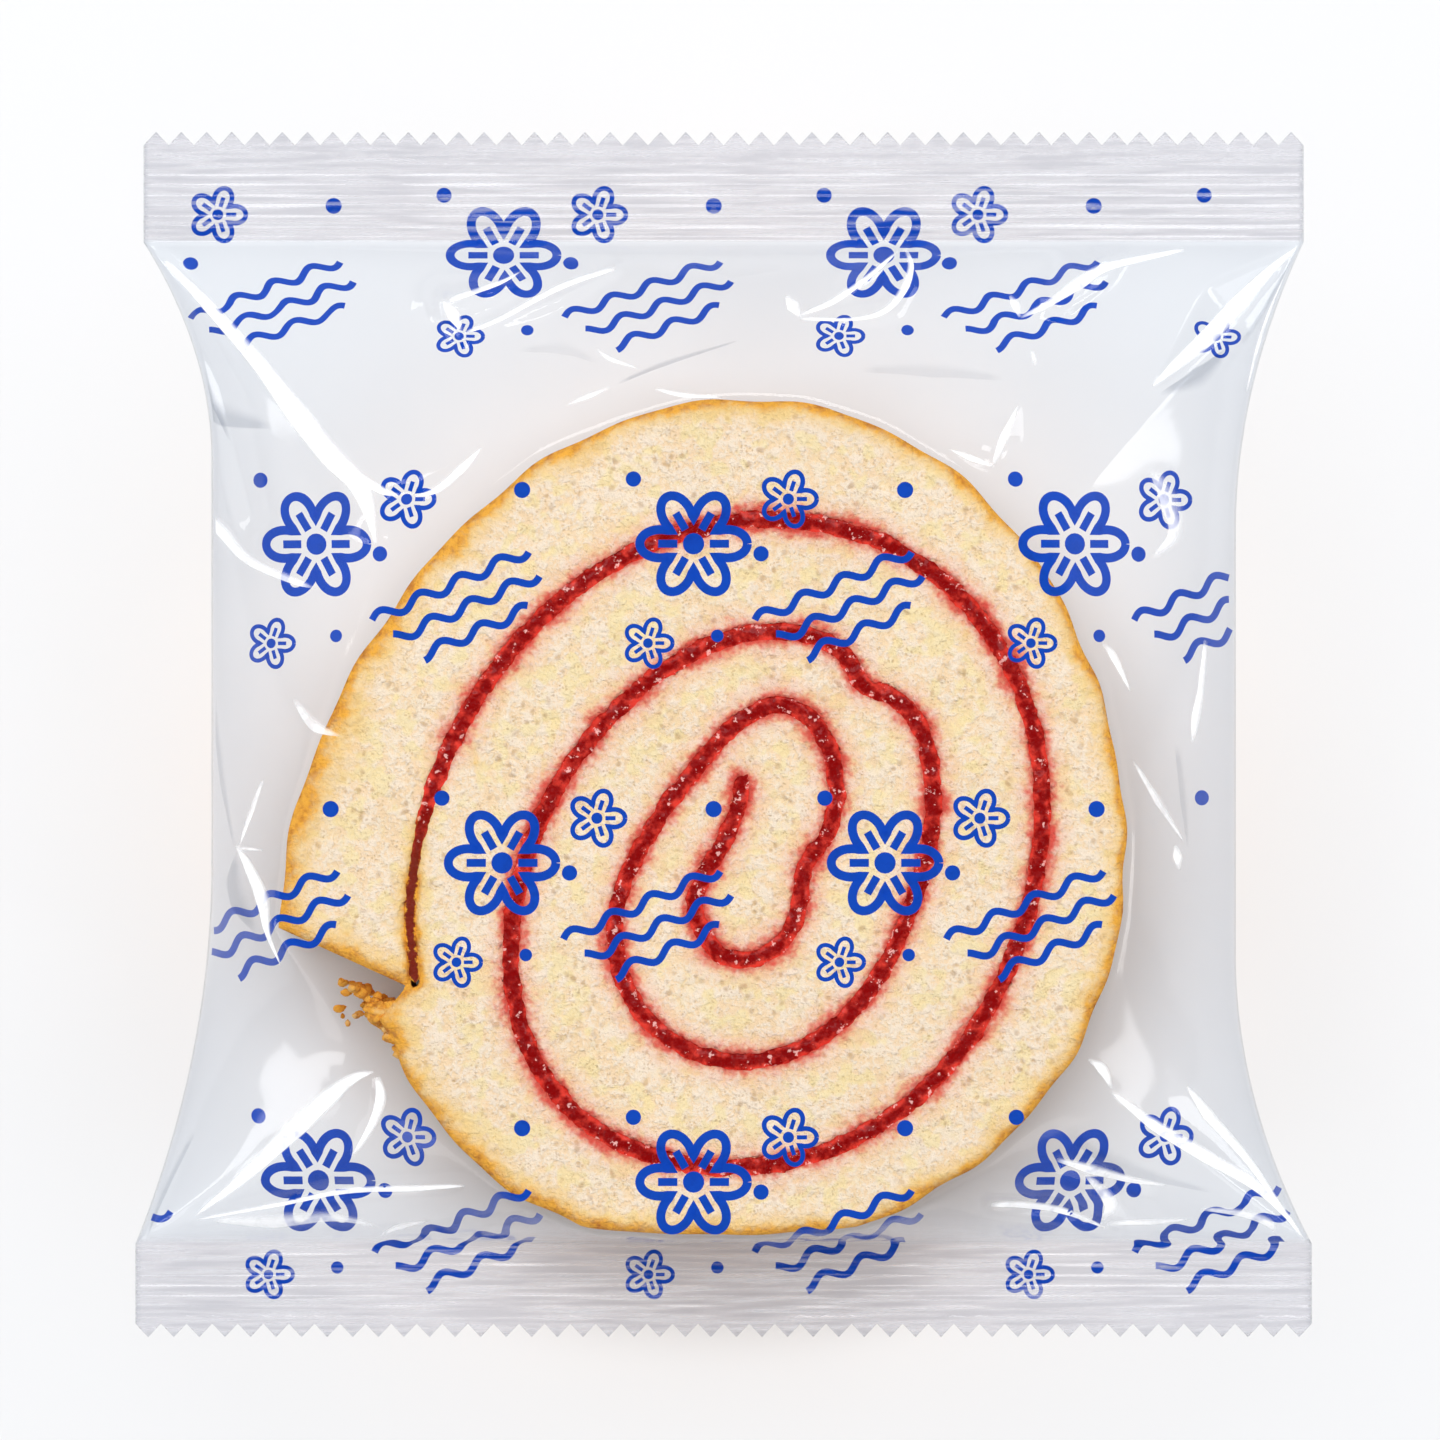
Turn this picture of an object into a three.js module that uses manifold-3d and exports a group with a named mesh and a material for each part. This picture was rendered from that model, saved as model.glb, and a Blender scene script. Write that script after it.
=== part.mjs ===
// A slice of swiss roll in its sealed clear bag, lying on its back with a cut face up.
//
// Units are millimetres. +Z is up, X runs across the bag and Y along it, from its bottom seal to
// its top seal. The origin is under the middle of the bag, on the surface that it lies on.
//
// Three solids make the pack. The sponge is one long sheet rolled round itself, and the jam is the
// line spread on that sheet: both run right through the slice. The bag is what is left of the
// pillow, the film with the air that it holds round the cake and the two crimped end seals. On the
// two cut faces the film lies flat on the cake, so there the faces themselves are the outside.

import * as THREE from "three";
import { mergeVertices } from "three/addons/utils/BufferGeometryUtils.js";
import Module from "manifold-3d";

// The slice
const SLICE_THICK = 26;
const ROLL_CENTRE = { x: 3.5, y: -12.9 };

// The jam line: an oval spiral that leans, and sits a little low. Directions are in degrees,
// counter-clockwise from +X, and go on counting through the turns.
const SWIRL_FIRST = 246;
const SWIRL_LAST = 1281;
const SWIRL_START = 240;
const SWIRL_CORE = 5.6;
const SWIRL_PITCH = 11.8;
const SWIRL_DROP = 1.85;
const SWIRL_OVAL = 4.0;
const SWIRL_OVAL_LOSS = 0.6;
const SWIRL_LEAN = 71;
// Where rolling pushed the line out or in: the direction, how far it spreads, and how deep it is.
const SWIRL_DENTS = [
  { at: 438, wide: 24, deep: 2.55 },
  { at: 510, wide: 24, deep: 0.7 },
  { at: 777, wide: 9, deep: -2.3 },
  { at: 832, wide: 40, deep: -1.1 },
  { at: 950, wide: 28, deep: 1.9 },
  { at: 1135, wide: 40, deep: 0.6 },
];
// The sheet's first fold, from the end of the jam to where the spiral takes over, from ROLL_CENTRE.
const HOOK = [
  [-1.6, 7.6],
  [-1.9, 5.2],
  [-3.5, 1.2],
  [-5.9, -3.0],
  [-6.7, -6.4],
];
const JAM_WIDE = 2.6;
const JAM_GAP = 0.3;
const JAM_STEPS = 230;
const SWIRL_STEP = 9;
const CAP_STEPS = 5;

// The browned skin outside, from under the flap round to the flap's tip.
const SKIN_FIRST = 208;
const SKIN_LAST = 549;
const SKIN_CORE = 40.5;
const SKIN_PITCH = 10.6;
const SKIN_WAVES = [
  { count: 1, high: 2.9, at: 196 },
  { count: 2, high: 2.15, at: 69 },
  { count: 3, high: 1.28, at: 90 },
  { count: 19, high: 0.16, at: 5 },
  { count: 31, high: 0.12, at: 3 },
];
const SKIN_STEP = 3;
// The slice has slid down on the bottom seal, which presses its end almost flat below this height.
const PRESSED_FROM = -54;
const PRESSED_SHARE = 0.35;
// The skin lips out into the notch under the flap.
const NOTCH_LIP = { radius: 45.2, at: 204 };

// The bag
const BAG_WIDE = 130;
const BAG_TOP = 66.6;
const BAG_BOTTOM = -66.6;
const TOP_SEAL_DEEP = 12.2;
const BOTTOM_SEAL_DEEP = 10.3;
const WAIST = 56.6;
// How far from the seal the side takes to come in to the waist.
const FLARE_REACH = { topLeft: 24, topRight: 32, bottomLeft: 42, bottomRight: 32 };
const RIM_GAP = 0.4;
const RIM_FLAT = 0.8;
// The wall takes the farthest skin within these turns to each side, so it clears sharp corners.
const WALL_EASE = [-1.6, -0.8, 0, 0.8, 1.6];
const REACH_STEP = 2;
const SHALLOWEST_LEAN = 0.2;
const SEAM_HIGH = 11;
const EDGE_THICK = 0.4;
const FILM_SWELL = 0.8;
const FOLD_DEEP = 1.1;
const FOLD_COUNT = 15;
const FOLD_SPREAD = 22;
const DIRECTIONS = 120;
const RINGS = 6;

// The end seals
const SEAM_THICK = 0.8;
const TOOTH_PITCH = 2.8;
const TOOTH_DEEP = 1.5;
const TOOTH_ROOT = 0.3;
const TOOTH_THICK = 0.6;
const CRIMP_PITCH = 1.5;
const CRIMP_DEEP = 0.12;
const SEAL_LAP = 0.5;

const radians = THREE.MathUtils.degToRad;
const lerp = THREE.MathUtils.lerp;

const wasm = await Module();
wasm.setup();

// The point at a radius and a direction from the middle of the roll.
function around(radius, degrees) {
  return new THREE.Vector2(
    ROLL_CENTRE.x + radius * Math.cos(radians(degrees)),
    ROLL_CENTRE.y + radius * Math.sin(radians(degrees)),
  );
}

function jamRadius(degrees) {
  const turns = (degrees - SWIRL_START) / 360;
  const oval = (SWIRL_OVAL - SWIRL_OVAL_LOSS * turns) * Math.cos(2 * radians(degrees - SWIRL_LEAN));
  const drop = SWIRL_DROP * Math.sin(radians(degrees));
  const dents = SWIRL_DENTS.reduce(
    (sum, dent) => sum + dent.deep * Math.exp(-(((degrees - dent.at) / dent.wide) ** 2)),
    0,
  );
  return SWIRL_CORE + SWIRL_PITCH * turns + oval - drop + dents;
}

function skinRadius(degrees) {
  const turns = (degrees - SKIN_FIRST) / 360;
  return SKIN_WAVES.reduce(
    (radius, wave) => radius + wave.high * Math.cos(wave.count * radians(degrees - wave.at)),
    SKIN_CORE + SKIN_PITCH * turns,
  );
}

// The middle of the jam, from its end inside the first fold out to the flap.
function jamLine() {
  const points = HOOK.map(([x, y]) => new THREE.Vector3(ROLL_CENTRE.x + x, ROLL_CENTRE.y + y, 0));
  for (let degrees = SWIRL_FIRST; degrees <= SWIRL_LAST; degrees += SWIRL_STEP) {
    const point = around(jamRadius(degrees), degrees);
    points.push(new THREE.Vector3(point.x, point.y, 0));
  }
  return new THREE.CatmullRomCurve3(points);
}

// The two sides of a band along the jam line, each from its inner end out, and the round end between.
function jamBand(halfWide) {
  const line = jamLine();
  const left = [];
  const right = [];
  for (let step = 0; step <= JAM_STEPS; step++) {
    const point = line.getPointAt(step / JAM_STEPS);
    const along = line.getTangentAt(step / JAM_STEPS);
    left.push(new THREE.Vector2(point.x - along.y * halfWide, point.y + along.x * halfWide));
    right.push(new THREE.Vector2(point.x + along.y * halfWide, point.y - along.x * halfWide));
  }
  const start = line.getPointAt(0);
  const heading = line.getTangentAt(0);
  const back = Math.atan2(heading.y, heading.x) + Math.PI / 2;
  const cap = [];
  for (let step = 1; step < CAP_STEPS; step++) {
    const angle = back + (Math.PI * step) / CAP_STEPS;
    cap.push(new THREE.Vector2(start.x + halfWide * Math.cos(angle), start.y + halfWide * Math.sin(angle)));
  }
  return { left, right, cap };
}

function skinPoint(degrees) {
  const point = around(skinRadius(degrees), degrees);
  if (point.y < PRESSED_FROM) point.y = lerp(PRESSED_FROM, point.y, PRESSED_SHARE);
  return point;
}

function skinLine() {
  const points = [];
  for (let degrees = SKIN_FIRST; degrees < SKIN_LAST; degrees += SKIN_STEP) points.push(skinPoint(degrees));
  points.push(skinPoint(SKIN_LAST));
  return points;
}

// One slice of whatever the outline encloses, from one cut face to the other.
function sliceOf(outline) {
  return new THREE.ExtrudeGeometry(new THREE.Shape(outline), { depth: SLICE_THICK, bevelEnabled: false });
}

// The rolled sheet: round the skin, across the end of the flap, in along one side of the jam and out
// along the other.
function spongeOutline() {
  const slot = jamBand(JAM_WIDE / 2 + JAM_GAP);
  const lip = around(NOTCH_LIP.radius, NOTCH_LIP.at);
  return [lip, ...skinLine(), ...slot.right.toReversed(), ...slot.cap.toReversed(), ...slot.left];
}

function jamOutline() {
  const band = jamBand(JAM_WIDE / 2);
  return [...band.right.toReversed(), ...band.cap.toReversed(), ...band.left];
}

// Half the bag's width at a height along it, on one side. The cake's thickness takes up the film,
// so the bag is narrow beside it and flares to its flat width at each seal.
function halfWidth(y, isRight) {
  const fromTop = BAG_TOP - TOP_SEAL_DEEP - y;
  const fromBottom = y - (BAG_BOTTOM + BOTTOM_SEAL_DEEP);
  const topReach = isRight ? FLARE_REACH.topRight : FLARE_REACH.topLeft;
  const bottomReach = isRight ? FLARE_REACH.bottomRight : FLARE_REACH.bottomLeft;
  const flare = (distance, reach) => Math.max(0, 1 - distance / reach) ** 2;
  return WAIST + (BAG_WIDE / 2 - WAIST) * (flare(fromTop, topReach) + flare(fromBottom, bottomReach));
}

function isInBag(point) {
  return (
    point.y < BAG_TOP - TOP_SEAL_DEEP &&
    point.y > BAG_BOTTOM + BOTTOM_SEAL_DEEP &&
    Math.abs(point.x) < halfWidth(point.y, point.x > 0)
  );
}

// The point where a line from the middle of the roll, in one direction, meets the bag's edge.
function edgePoint(degrees) {
  let near = 0;
  let far = BAG_WIDE;
  for (let halving = 0; halving < 40; halving++) {
    const middle = (near + far) / 2;
    if (isInBag(around(middle, degrees))) near = middle;
    else far = middle;
  }
  return around(near, degrees);
}

function degreesOf(point) {
  return THREE.MathUtils.radToDeg(Math.atan2(point.y - ROLL_CENTRE.y, point.x - ROLL_CENTRE.x));
}

function bagCorners() {
  const half = BAG_WIDE / 2;
  return [
    new THREE.Vector2(half, BAG_TOP - TOP_SEAL_DEEP),
    new THREE.Vector2(-half, BAG_TOP - TOP_SEAL_DEEP),
    new THREE.Vector2(-half, BAG_BOTTOM + BOTTOM_SEAL_DEEP),
    new THREE.Vector2(half, BAG_BOTTOM + BOTTOM_SEAL_DEEP),
  ];
}

// How far out the slice reaches in each direction, which is all that a taut film touches.
function sliceReaches(rind) {
  const reaches = [];
  for (let degrees = 0; degrees < 360; degrees += REACH_STEP) {
    const reach = rind.map(
      (point) =>
        (point.x - ROLL_CENTRE.x) * Math.cos(radians(degrees)) +
        (point.y - ROLL_CENTRE.y) * Math.sin(radians(degrees)),
    );
    reaches.push({ degrees, reach: Math.max(...reach) + RIM_GAP });
  }
  return reaches;
}

// The taut film's distance from the middle of the roll: the nearest of the straight lines that touch
// the slice.
function rimRadius(degrees, reaches) {
  return reaches.reduce((radius, line) => {
    const lean = Math.cos(radians(degrees - line.degrees));
    return lean > SHALLOWEST_LEAN ? Math.min(radius, line.reach / lean) : radius;
  }, BAG_WIDE);
}

// The slice's own outermost point in one direction, also in the notch under the flap.
function rindRadius(degrees, rind) {
  const ray = new THREE.Vector2(Math.cos(radians(degrees)), Math.sin(radians(degrees)));
  const middle = new THREE.Vector2(ROLL_CENTRE.x, ROLL_CENTRE.y);
  let farthest = 0;
  rind.forEach((corner, i) => {
    const from = corner.clone().sub(middle);
    const to = rind[(i + 1) % rind.length].clone().sub(middle);
    const before = ray.cross(from);
    const after = ray.cross(to);
    if (before * after > 0 || before === after) return;
    const crossing = from.lerp(to, before / (before - after));
    farthest = Math.max(farthest, crossing.dot(ray));
  });
  return farthest;
}

// The film's lines, from the cake out to the bag's edge: where each leaves the skin, where it leaves
// the flat of the cut face, and where it ends. The first one runs through the flap's tip, and the
// nearest one to each corner ends in it.
function filmLines() {
  const rind = spongeOutline();
  const reaches = sliceReaches(rind);
  const lines = [];
  for (let i = 0; i < DIRECTIONS; i++) {
    const degrees = SKIN_LAST + (360 * i) / DIRECTIONS;
    const inner = Math.max(...WALL_EASE.map((turn) => rindRadius(degrees + turn, rind))) + RIM_GAP;
    const outer = Math.max(rimRadius(degrees, reaches), inner + RIM_FLAT);
    lines.push({
      wall: around(inner, degrees),
      rim: around(outer, degrees),
      edge: edgePoint(degrees),
      fold: 0,
    });
  }
  for (const corner of bagCorners()) {
    const gaps = lines.map((line) => line.edge.distanceTo(corner));
    lines[gaps.indexOf(Math.min(...gaps))].edge.copy(corner);
    lines.forEach((line) => {
      const turned = Math.abs(degreesOf(line.edge) - degreesOf(corner));
      const degrees = Math.min(turned, 360 - turned);
      line.fold += Math.cos(FOLD_COUNT * radians(degrees)) * Math.exp(-((degrees / FOLD_SPREAD) ** 2));
    });
  }
  return lines;
}

// The film and its air, as a ring round the cake. Each face starts with the flat ring along the
// cake's skin, and goes out in steps from the rim to the bag's edge.
function pillowGeometry() {
  const lines = filmLines();
  const positions = [];
  for (const isFront of [true, false]) {
    const face = isFront ? SLICE_THICK : 0;
    const seam = SEAM_HIGH + (isFront ? EDGE_THICK : -EDGE_THICK) / 2;
    for (const line of lines) positions.push(line.wall.x, line.wall.y, face);
    for (let ring = 0; ring <= RINGS; ring++) {
      const along = ring / RINGS;
      for (const line of lines) {
        const fold = isFront ? FOLD_DEEP * line.fold * Math.sin(Math.PI * along) : 0;
        const height = lerp(seam, face, (1 - along) ** FILM_SWELL) + fold;
        positions.push(
          lerp(line.rim.x, line.edge.x, along),
          lerp(line.rim.y, line.edge.y, along),
          height,
        );
      }
    }
  }
  const last = RINGS + 1;
  const at = (isFront, ring, i) => ((isFront ? 0 : last + 1) + ring) * DIRECTIONS + (i % DIRECTIONS);
  const faces = [];
  const quad = (a, b, c, d) => faces.push(a, b, c, a, c, d);
  for (let i = 0; i < DIRECTIONS; i++) {
    for (let ring = 0; ring < last; ring++) {
      quad(at(true, ring, i), at(true, ring + 1, i), at(true, ring + 1, i + 1), at(true, ring, i + 1));
      quad(at(false, ring, i + 1), at(false, ring + 1, i + 1), at(false, ring + 1, i), at(false, ring, i));
    }
    quad(at(true, 0, i), at(true, 0, i + 1), at(false, 0, i + 1), at(false, 0, i));
    quad(at(true, last, i + 1), at(true, last, i), at(false, last, i), at(false, last, i + 1));
  }
  const geometry = new THREE.BufferGeometry();
  geometry.setAttribute("position", new THREE.Float32BufferAttribute(positions, 3));
  geometry.setIndex(faces);
  return geometry;
}

// A seal's cross-section along the bag: a thin double layer with the jaws' ridges on both sides.
function crimpedSection(deep) {
  const ridges = Math.round(deep / CRIMP_PITCH);
  const back = [];
  const front = [];
  for (let ridge = 0; ridge < ridges; ridge++) {
    for (const side of [-1, 1]) {
      const x = (deep * (ridge + (side + 2) / 4)) / ridges;
      back.push(new THREE.Vector2(x, side * CRIMP_DEEP - SEAM_THICK / 2));
      front.push(new THREE.Vector2(x, side * CRIMP_DEEP + SEAM_THICK / 2));
    }
  }
  const low = -SEAM_THICK / 2;
  const high = SEAM_THICK / 2;
  return [
    new THREE.Vector2(0, low),
    ...back,
    new THREE.Vector2(deep, low),
    new THREE.Vector2(deep, high),
    ...front.reverse(),
    new THREE.Vector2(0, high),
  ];
}

// The outline of the strip that the knife cuts into teeth, from the last ridge outwards.
function toothedOutline() {
  const teeth = Math.round(BAG_WIDE / TOOTH_PITCH);
  const half = BAG_WIDE / 2;
  const points = [new THREE.Vector2(-half, -SEAL_LAP), new THREE.Vector2(half, -SEAL_LAP)];
  for (let tooth = 0; tooth < teeth; tooth++) {
    const right = half - (BAG_WIDE * tooth) / teeth;
    points.push(new THREE.Vector2(right, TOOTH_ROOT));
    points.push(new THREE.Vector2(right - BAG_WIDE / teeth / 2, TOOTH_ROOT + TOOTH_DEEP));
  }
  points.push(new THREE.Vector2(-half, TOOTH_ROOT));
  return points;
}

// A seal that starts at y = 0 and runs towards +Y, at the height of the seams.
function sealSolid(deep) {
  const plain = deep - TOOTH_ROOT - TOOTH_DEEP;
  const section = new THREE.Shape(crimpedSection(plain));
  const slab = new THREE.ExtrudeGeometry(section, { depth: BAG_WIDE, bevelEnabled: false });
  slab.applyMatrix4(
    new THREE.Matrix4().makeBasis(
      new THREE.Vector3(0, 1, 0),
      new THREE.Vector3(0, 0, 1),
      new THREE.Vector3(1, 0, 0),
    ),
  );
  slab.translate(-BAG_WIDE / 2, 0, SEAM_HIGH);
  const teeth = new THREE.ExtrudeGeometry(new THREE.Shape(toothedOutline()), {
    depth: TOOTH_THICK,
    bevelEnabled: false,
  });
  teeth.translate(0, plain, SEAM_HIGH - TOOTH_THICK / 2);
  return solidOf(slab).add(solidOf(teeth));
}

function solidOf(geometry) {
  const bare = geometry.clone();
  bare.deleteAttribute("normal");
  bare.deleteAttribute("uv");
  const merged = mergeVertices(bare, 1e-4);
  return new wasm.Manifold(
    new wasm.Mesh({
      numProp: 3,
      vertProperties: new Float32Array(merged.attributes.position.array),
      triVerts: new Uint32Array(merged.index.array),
    }),
  );
}

function geometryOf(solid) {
  const made = solid.getMesh();
  const geometry = new THREE.BufferGeometry();
  geometry.setAttribute("position", new THREE.BufferAttribute(made.vertProperties, 3));
  geometry.setIndex(new THREE.BufferAttribute(made.triVerts, 1));
  geometry.computeVertexNormals();
  return geometry;
}

function bagGeometry() {
  const topLong = TOP_SEAL_DEEP + SEAL_LAP;
  const bottomLong = BOTTOM_SEAL_DEEP + SEAL_LAP;
  const topSeal = sealSolid(topLong).translate([0, BAG_TOP - topLong, 0]);
  const bottomSeal = sealSolid(bottomLong).rotate([0, 0, 180]).translate([0, BAG_BOTTOM + bottomLong, 0]);
  return geometryOf(solidOf(pillowGeometry()).add(topSeal).add(bottomSeal));
}

const film = new THREE.MeshStandardMaterial({
  color: 0xe4e6ec,
  roughness: 0.12,
  metalness: 0,
  transparent: true,
  opacity: 0.3,
});
const crumb = new THREE.MeshStandardMaterial({ color: 0xf0dcae, roughness: 0.95, metalness: 0 });
const redJam = new THREE.MeshStandardMaterial({ color: 0xa8141a, roughness: 0.3, metalness: 0 });

function piece(name, geometry, material) {
  const mesh = new THREE.Mesh(geometry, material);
  mesh.name = name;
  return mesh;
}

const pack = new THREE.Group();
pack.add(piece("sponge", sliceOf(spongeOutline()), crumb));
pack.add(piece("jam", sliceOf(jamOutline()), redJam));
pack.add(piece("bag", bagGeometry(), film));

export default pack;
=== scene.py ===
"""A slice of swiss roll in its clear bag: the looks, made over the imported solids."""

import itertools
import math
import random

import bmesh
import bpy
import numpy as np
from bpy.props import FloatProperty, FloatVectorProperty, IntProperty, PointerProperty
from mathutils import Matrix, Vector, kdtree, noise


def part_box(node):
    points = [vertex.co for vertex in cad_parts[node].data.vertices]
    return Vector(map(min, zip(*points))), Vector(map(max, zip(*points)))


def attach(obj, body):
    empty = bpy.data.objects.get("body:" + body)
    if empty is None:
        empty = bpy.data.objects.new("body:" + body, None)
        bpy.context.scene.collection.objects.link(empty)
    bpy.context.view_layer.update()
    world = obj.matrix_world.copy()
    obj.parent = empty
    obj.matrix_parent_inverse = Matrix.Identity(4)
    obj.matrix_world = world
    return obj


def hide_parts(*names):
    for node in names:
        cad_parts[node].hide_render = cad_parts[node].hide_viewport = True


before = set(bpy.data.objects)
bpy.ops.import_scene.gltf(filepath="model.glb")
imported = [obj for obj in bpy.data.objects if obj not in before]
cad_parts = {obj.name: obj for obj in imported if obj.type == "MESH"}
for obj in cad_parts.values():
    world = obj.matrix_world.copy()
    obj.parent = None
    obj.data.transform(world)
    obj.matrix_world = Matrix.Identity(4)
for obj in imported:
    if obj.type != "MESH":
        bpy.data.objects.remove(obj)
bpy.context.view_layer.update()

bl_info = {
    "name": "Wrapped Swiss Roll Slice",
    "version": (1, 0, 0),
    "blender": (4, 5, 0),
    "location": "View3D > Sidebar > Swiss Roll",
    "description": "Makes the crumb, the jam, the clear bag and the stage of a wrapped slice",
    "category": "Add Mesh",
}

SPONGE_LOW, SPONGE_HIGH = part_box("sponge")
BAG_LOW, BAG_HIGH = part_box("bag")

# Shapes are worked out in millimetres and are scaled to metres when a piece is finished.
MM = 0.001
FACE = SPONGE_HIGH[2] / MM
BACK = SPONGE_LOW[2] / MM

# The roll, as it is in the solids. Directions are in degrees and count on through the turns.
ROLL_X = 3.5
ROLL_Y = -12.9
SWIRL_FIRST = 246
SWIRL_LAST = 1281
SWIRL_START = 240
SWIRL_CORE = 5.6
SWIRL_PITCH = 11.8
SWIRL_DROP = 1.85
SWIRL_OVAL = 4.0
SWIRL_OVAL_LOSS = 0.6
SWIRL_LEAN = 71
SWIRL_STEP = 9
# Direction, spread and depth of each place where rolling pushed the line out or in.
SWIRL_DENTS = (
    (438, 24, 2.55),
    (510, 24, 0.7),
    (777, 9, -2.3),
    (832, 40, -1.1),
    (950, 28, 1.9),
    (1135, 40, 0.6),
)
HOOK = ((-1.6, 7.6), (-1.9, 5.2), (-3.5, 1.2), (-5.9, -3.0), (-6.7, -6.4))
SKIN_FIRST = 208
SKIN_LAST = 549
SKIN_CORE = 40.5
SKIN_PITCH = 10.6
# How many waves go round, how high they are, and the direction of a crest.
SKIN_WAVES = ((1, 2.9, 196), (2, 2.15, 69), (3, 1.28, 90), (19, 0.16, 5), (31, 0.12, 3))
PRESSED_FROM = -54
PRESSED_SHARE = 0.35
NOTCH_LIP = (45.2, 204)
JAM_END = (41.0, 201)

# The bag, as it is in the solids.
BAG_HALF = BAG_HIGH[0] / MM
TOP_HALF = BAG_HALF - 0.9
BAG_TOP = BAG_HIGH[1] / MM
BAG_BOTTOM = BAG_LOW[1] / MM
TOP_SEAL_DEEP = 12.2
BOTTOM_SEAL_DEEP = 10.3
TOP_LINE = BAG_TOP - TOP_SEAL_DEEP
BOTTOM_LINE = BAG_BOTTOM + BOTTOM_SEAL_DEEP
WAIST = 56.6
FLARE_TOP = (24, 32)
FLARE_BOTTOM = (42, 32)
SEAM_HIGH = 11
TEETH = 46
TOOTH_DEEP = 1.5
COLUMNS_A_TOOTH = 6


def srgb(red, green, blue):
    """The linear colour of an 8-bit screen colour."""
    return tuple(
        c / 255 / 12.92 if c / 255 <= 0.04045 else ((c / 255 + 0.055) / 1.055) ** 2.4
        for c in (red, green, blue)
    )


def colour_prop(name, description, default):
    """A colour that the user can change."""
    return FloatVectorProperty(name=name, description=description, subtype="COLOR", default=default)


def length_prop(name, description, default, **limits):
    """A size that the user can change."""
    return FloatProperty(
        name=name, description=description, unit="LENGTH", precision=5, default=default, **limits
    )


class SliceSettings(bpy.types.PropertyGroup):
    """The cut slice of cake."""

    cell: length_prop("Crumb Cell", "Side of the smallest squares of the cut faces", 0.00048, min=0.0003)
    pore: length_prop("Pore Depth", "Depth of the deepest pores of the crumb", 0.0008)
    crumb: colour_prop("Crumb", "Colour of the crumb", srgb(244, 224, 200))
    crumb_shade: colour_prop("Crumb Shade", "Colour of the darker crumb", srgb(243, 211, 170))
    egg: colour_prop("Egg", "Colour of its yellow patches", srgb(243, 220, 160))
    # Painted shade: the crumb darkens towards this colour in the pores of its grain.
    pore_painted_shade: colour_prop("Pores", "Colour in the pores", srgb(184, 144, 100))
    crust: colour_prop("Crust", "Colour of the baked skin", srgb(240, 170, 58))
    crevice: colour_prop("Crevice", "Colour deep under the flap", srgb(118, 34, 18))
    tan: colour_prop("Tan Crumb", "Colour of the crumb under the skin", srgb(240, 198, 124))
    crust_dark: colour_prop("Dark Crust", "Colour of its darkest flecks", srgb(186, 104, 34))


class JamSettings(bpy.types.PropertyGroup):
    """The jam between the turns."""

    half_wide: length_prop("Half Width", "Half the width of the jam where it shows", 0.00118)
    lump: length_prop("Lump Height", "How far the jam's lumps stand up and dip", 0.0004)
    deep: colour_prop("Deep Red", "Colour where the jam is thick", srgb(136, 0, 0))
    bright: colour_prop("Bright Red", "Colour where it is thin", srgb(226, 62, 48))
    soaked: colour_prop("Soaked Crumb", "Colour of crumb full of jam", srgb(220, 84, 70))
    # Painted highlight: small pinkish-white gleams painted into the jam's colour.
    painted_gleam: colour_prop("Painted Gleams", "Colour of the small wet gleams", srgb(255, 196, 186))
    stain: colour_prop("Stain", "Colour of crumb that jam soaked into", srgb(236, 142, 118))


class FilmSettings(bpy.types.PropertyGroup):
    """The clear bag and its print."""

    tint: colour_prop("Tint", "What one layer of film lets through", (0.951, 0.973, 0.998))
    seal_tint: colour_prop("Seal Tint", "What one layer lets through in the seals", (0.915, 0.912, 0.935))
    # Painted shade: the film is tinted towards this on its steep slopes, in soft clouds, along its crimp
    # lines and in its dark folds.
    painted_shade_tint: colour_prop("Painted Shade", "What the steep folds let through", (0.62, 0.64, 0.68))
    haze: FloatProperty(
        name="Haze",
        description="Milkiest share of a crimped layer",
        default=0.3,
        min=0,
        max=1,
        subtype="FACTOR",
    )
    ink: colour_prop("Ink", "Colour of the print", srgb(0, 64, 172))
    ink_through: colour_prop("Ink Through", "What the ink lets through", (0.02, 0.08, 0.45))
    gloss: FloatProperty(
        name="Gloss",
        description="Share of light that the film mirrors head on",
        default=0.05,
        subtype="FACTOR",
    )
    ripple: FloatProperty(name="Ripple", description="Strength of the film's fine ripple", default=0.2)
    body_rows: IntProperty(name="Rows", description="Rows of faces between the seals", default=190, min=20)
    seal_rows: IntProperty(name="Seal Rows", description="Rows of faces in each seal", default=38, min=8)


class StageSettings(bpy.types.PropertyGroup):
    """The floor, the lights and the camera."""

    distance: FloatProperty(
        name="Camera Height", description="Height of the camera over the floor", default=2.0, unit="LENGTH"
    )
    view_wide: FloatProperty(
        name="View Width", description="Width that the camera sees", default=0.16, unit="LENGTH"
    )
    room: FloatProperty(name="Room", description="How bright the room is towards the horizon", default=0.42)
    floor: colour_prop("Floor", "Colour of the floor", (0.752, 0.757, 0.765))


def around(radius, degrees):
    """The point, or points, at a radius and a direction from the middle of the roll."""
    angle = np.radians(degrees)
    return np.stack([ROLL_X + radius * np.cos(angle), ROLL_Y + radius * np.sin(angle)], axis=-1)


def jam_radius(degrees):
    """How far the middle of the jam lies from the middle of the roll."""
    turns = (degrees - SWIRL_START) / 360
    oval = (SWIRL_OVAL - SWIRL_OVAL_LOSS * turns) * np.cos(2 * np.radians(degrees - SWIRL_LEAN))
    radius = SWIRL_CORE + SWIRL_PITCH * turns + oval - SWIRL_DROP * np.sin(np.radians(degrees))
    for at, wide, deep in SWIRL_DENTS:
        radius = radius + deep * np.exp(-(((degrees - at) / wide) ** 2))
    return radius


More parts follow.
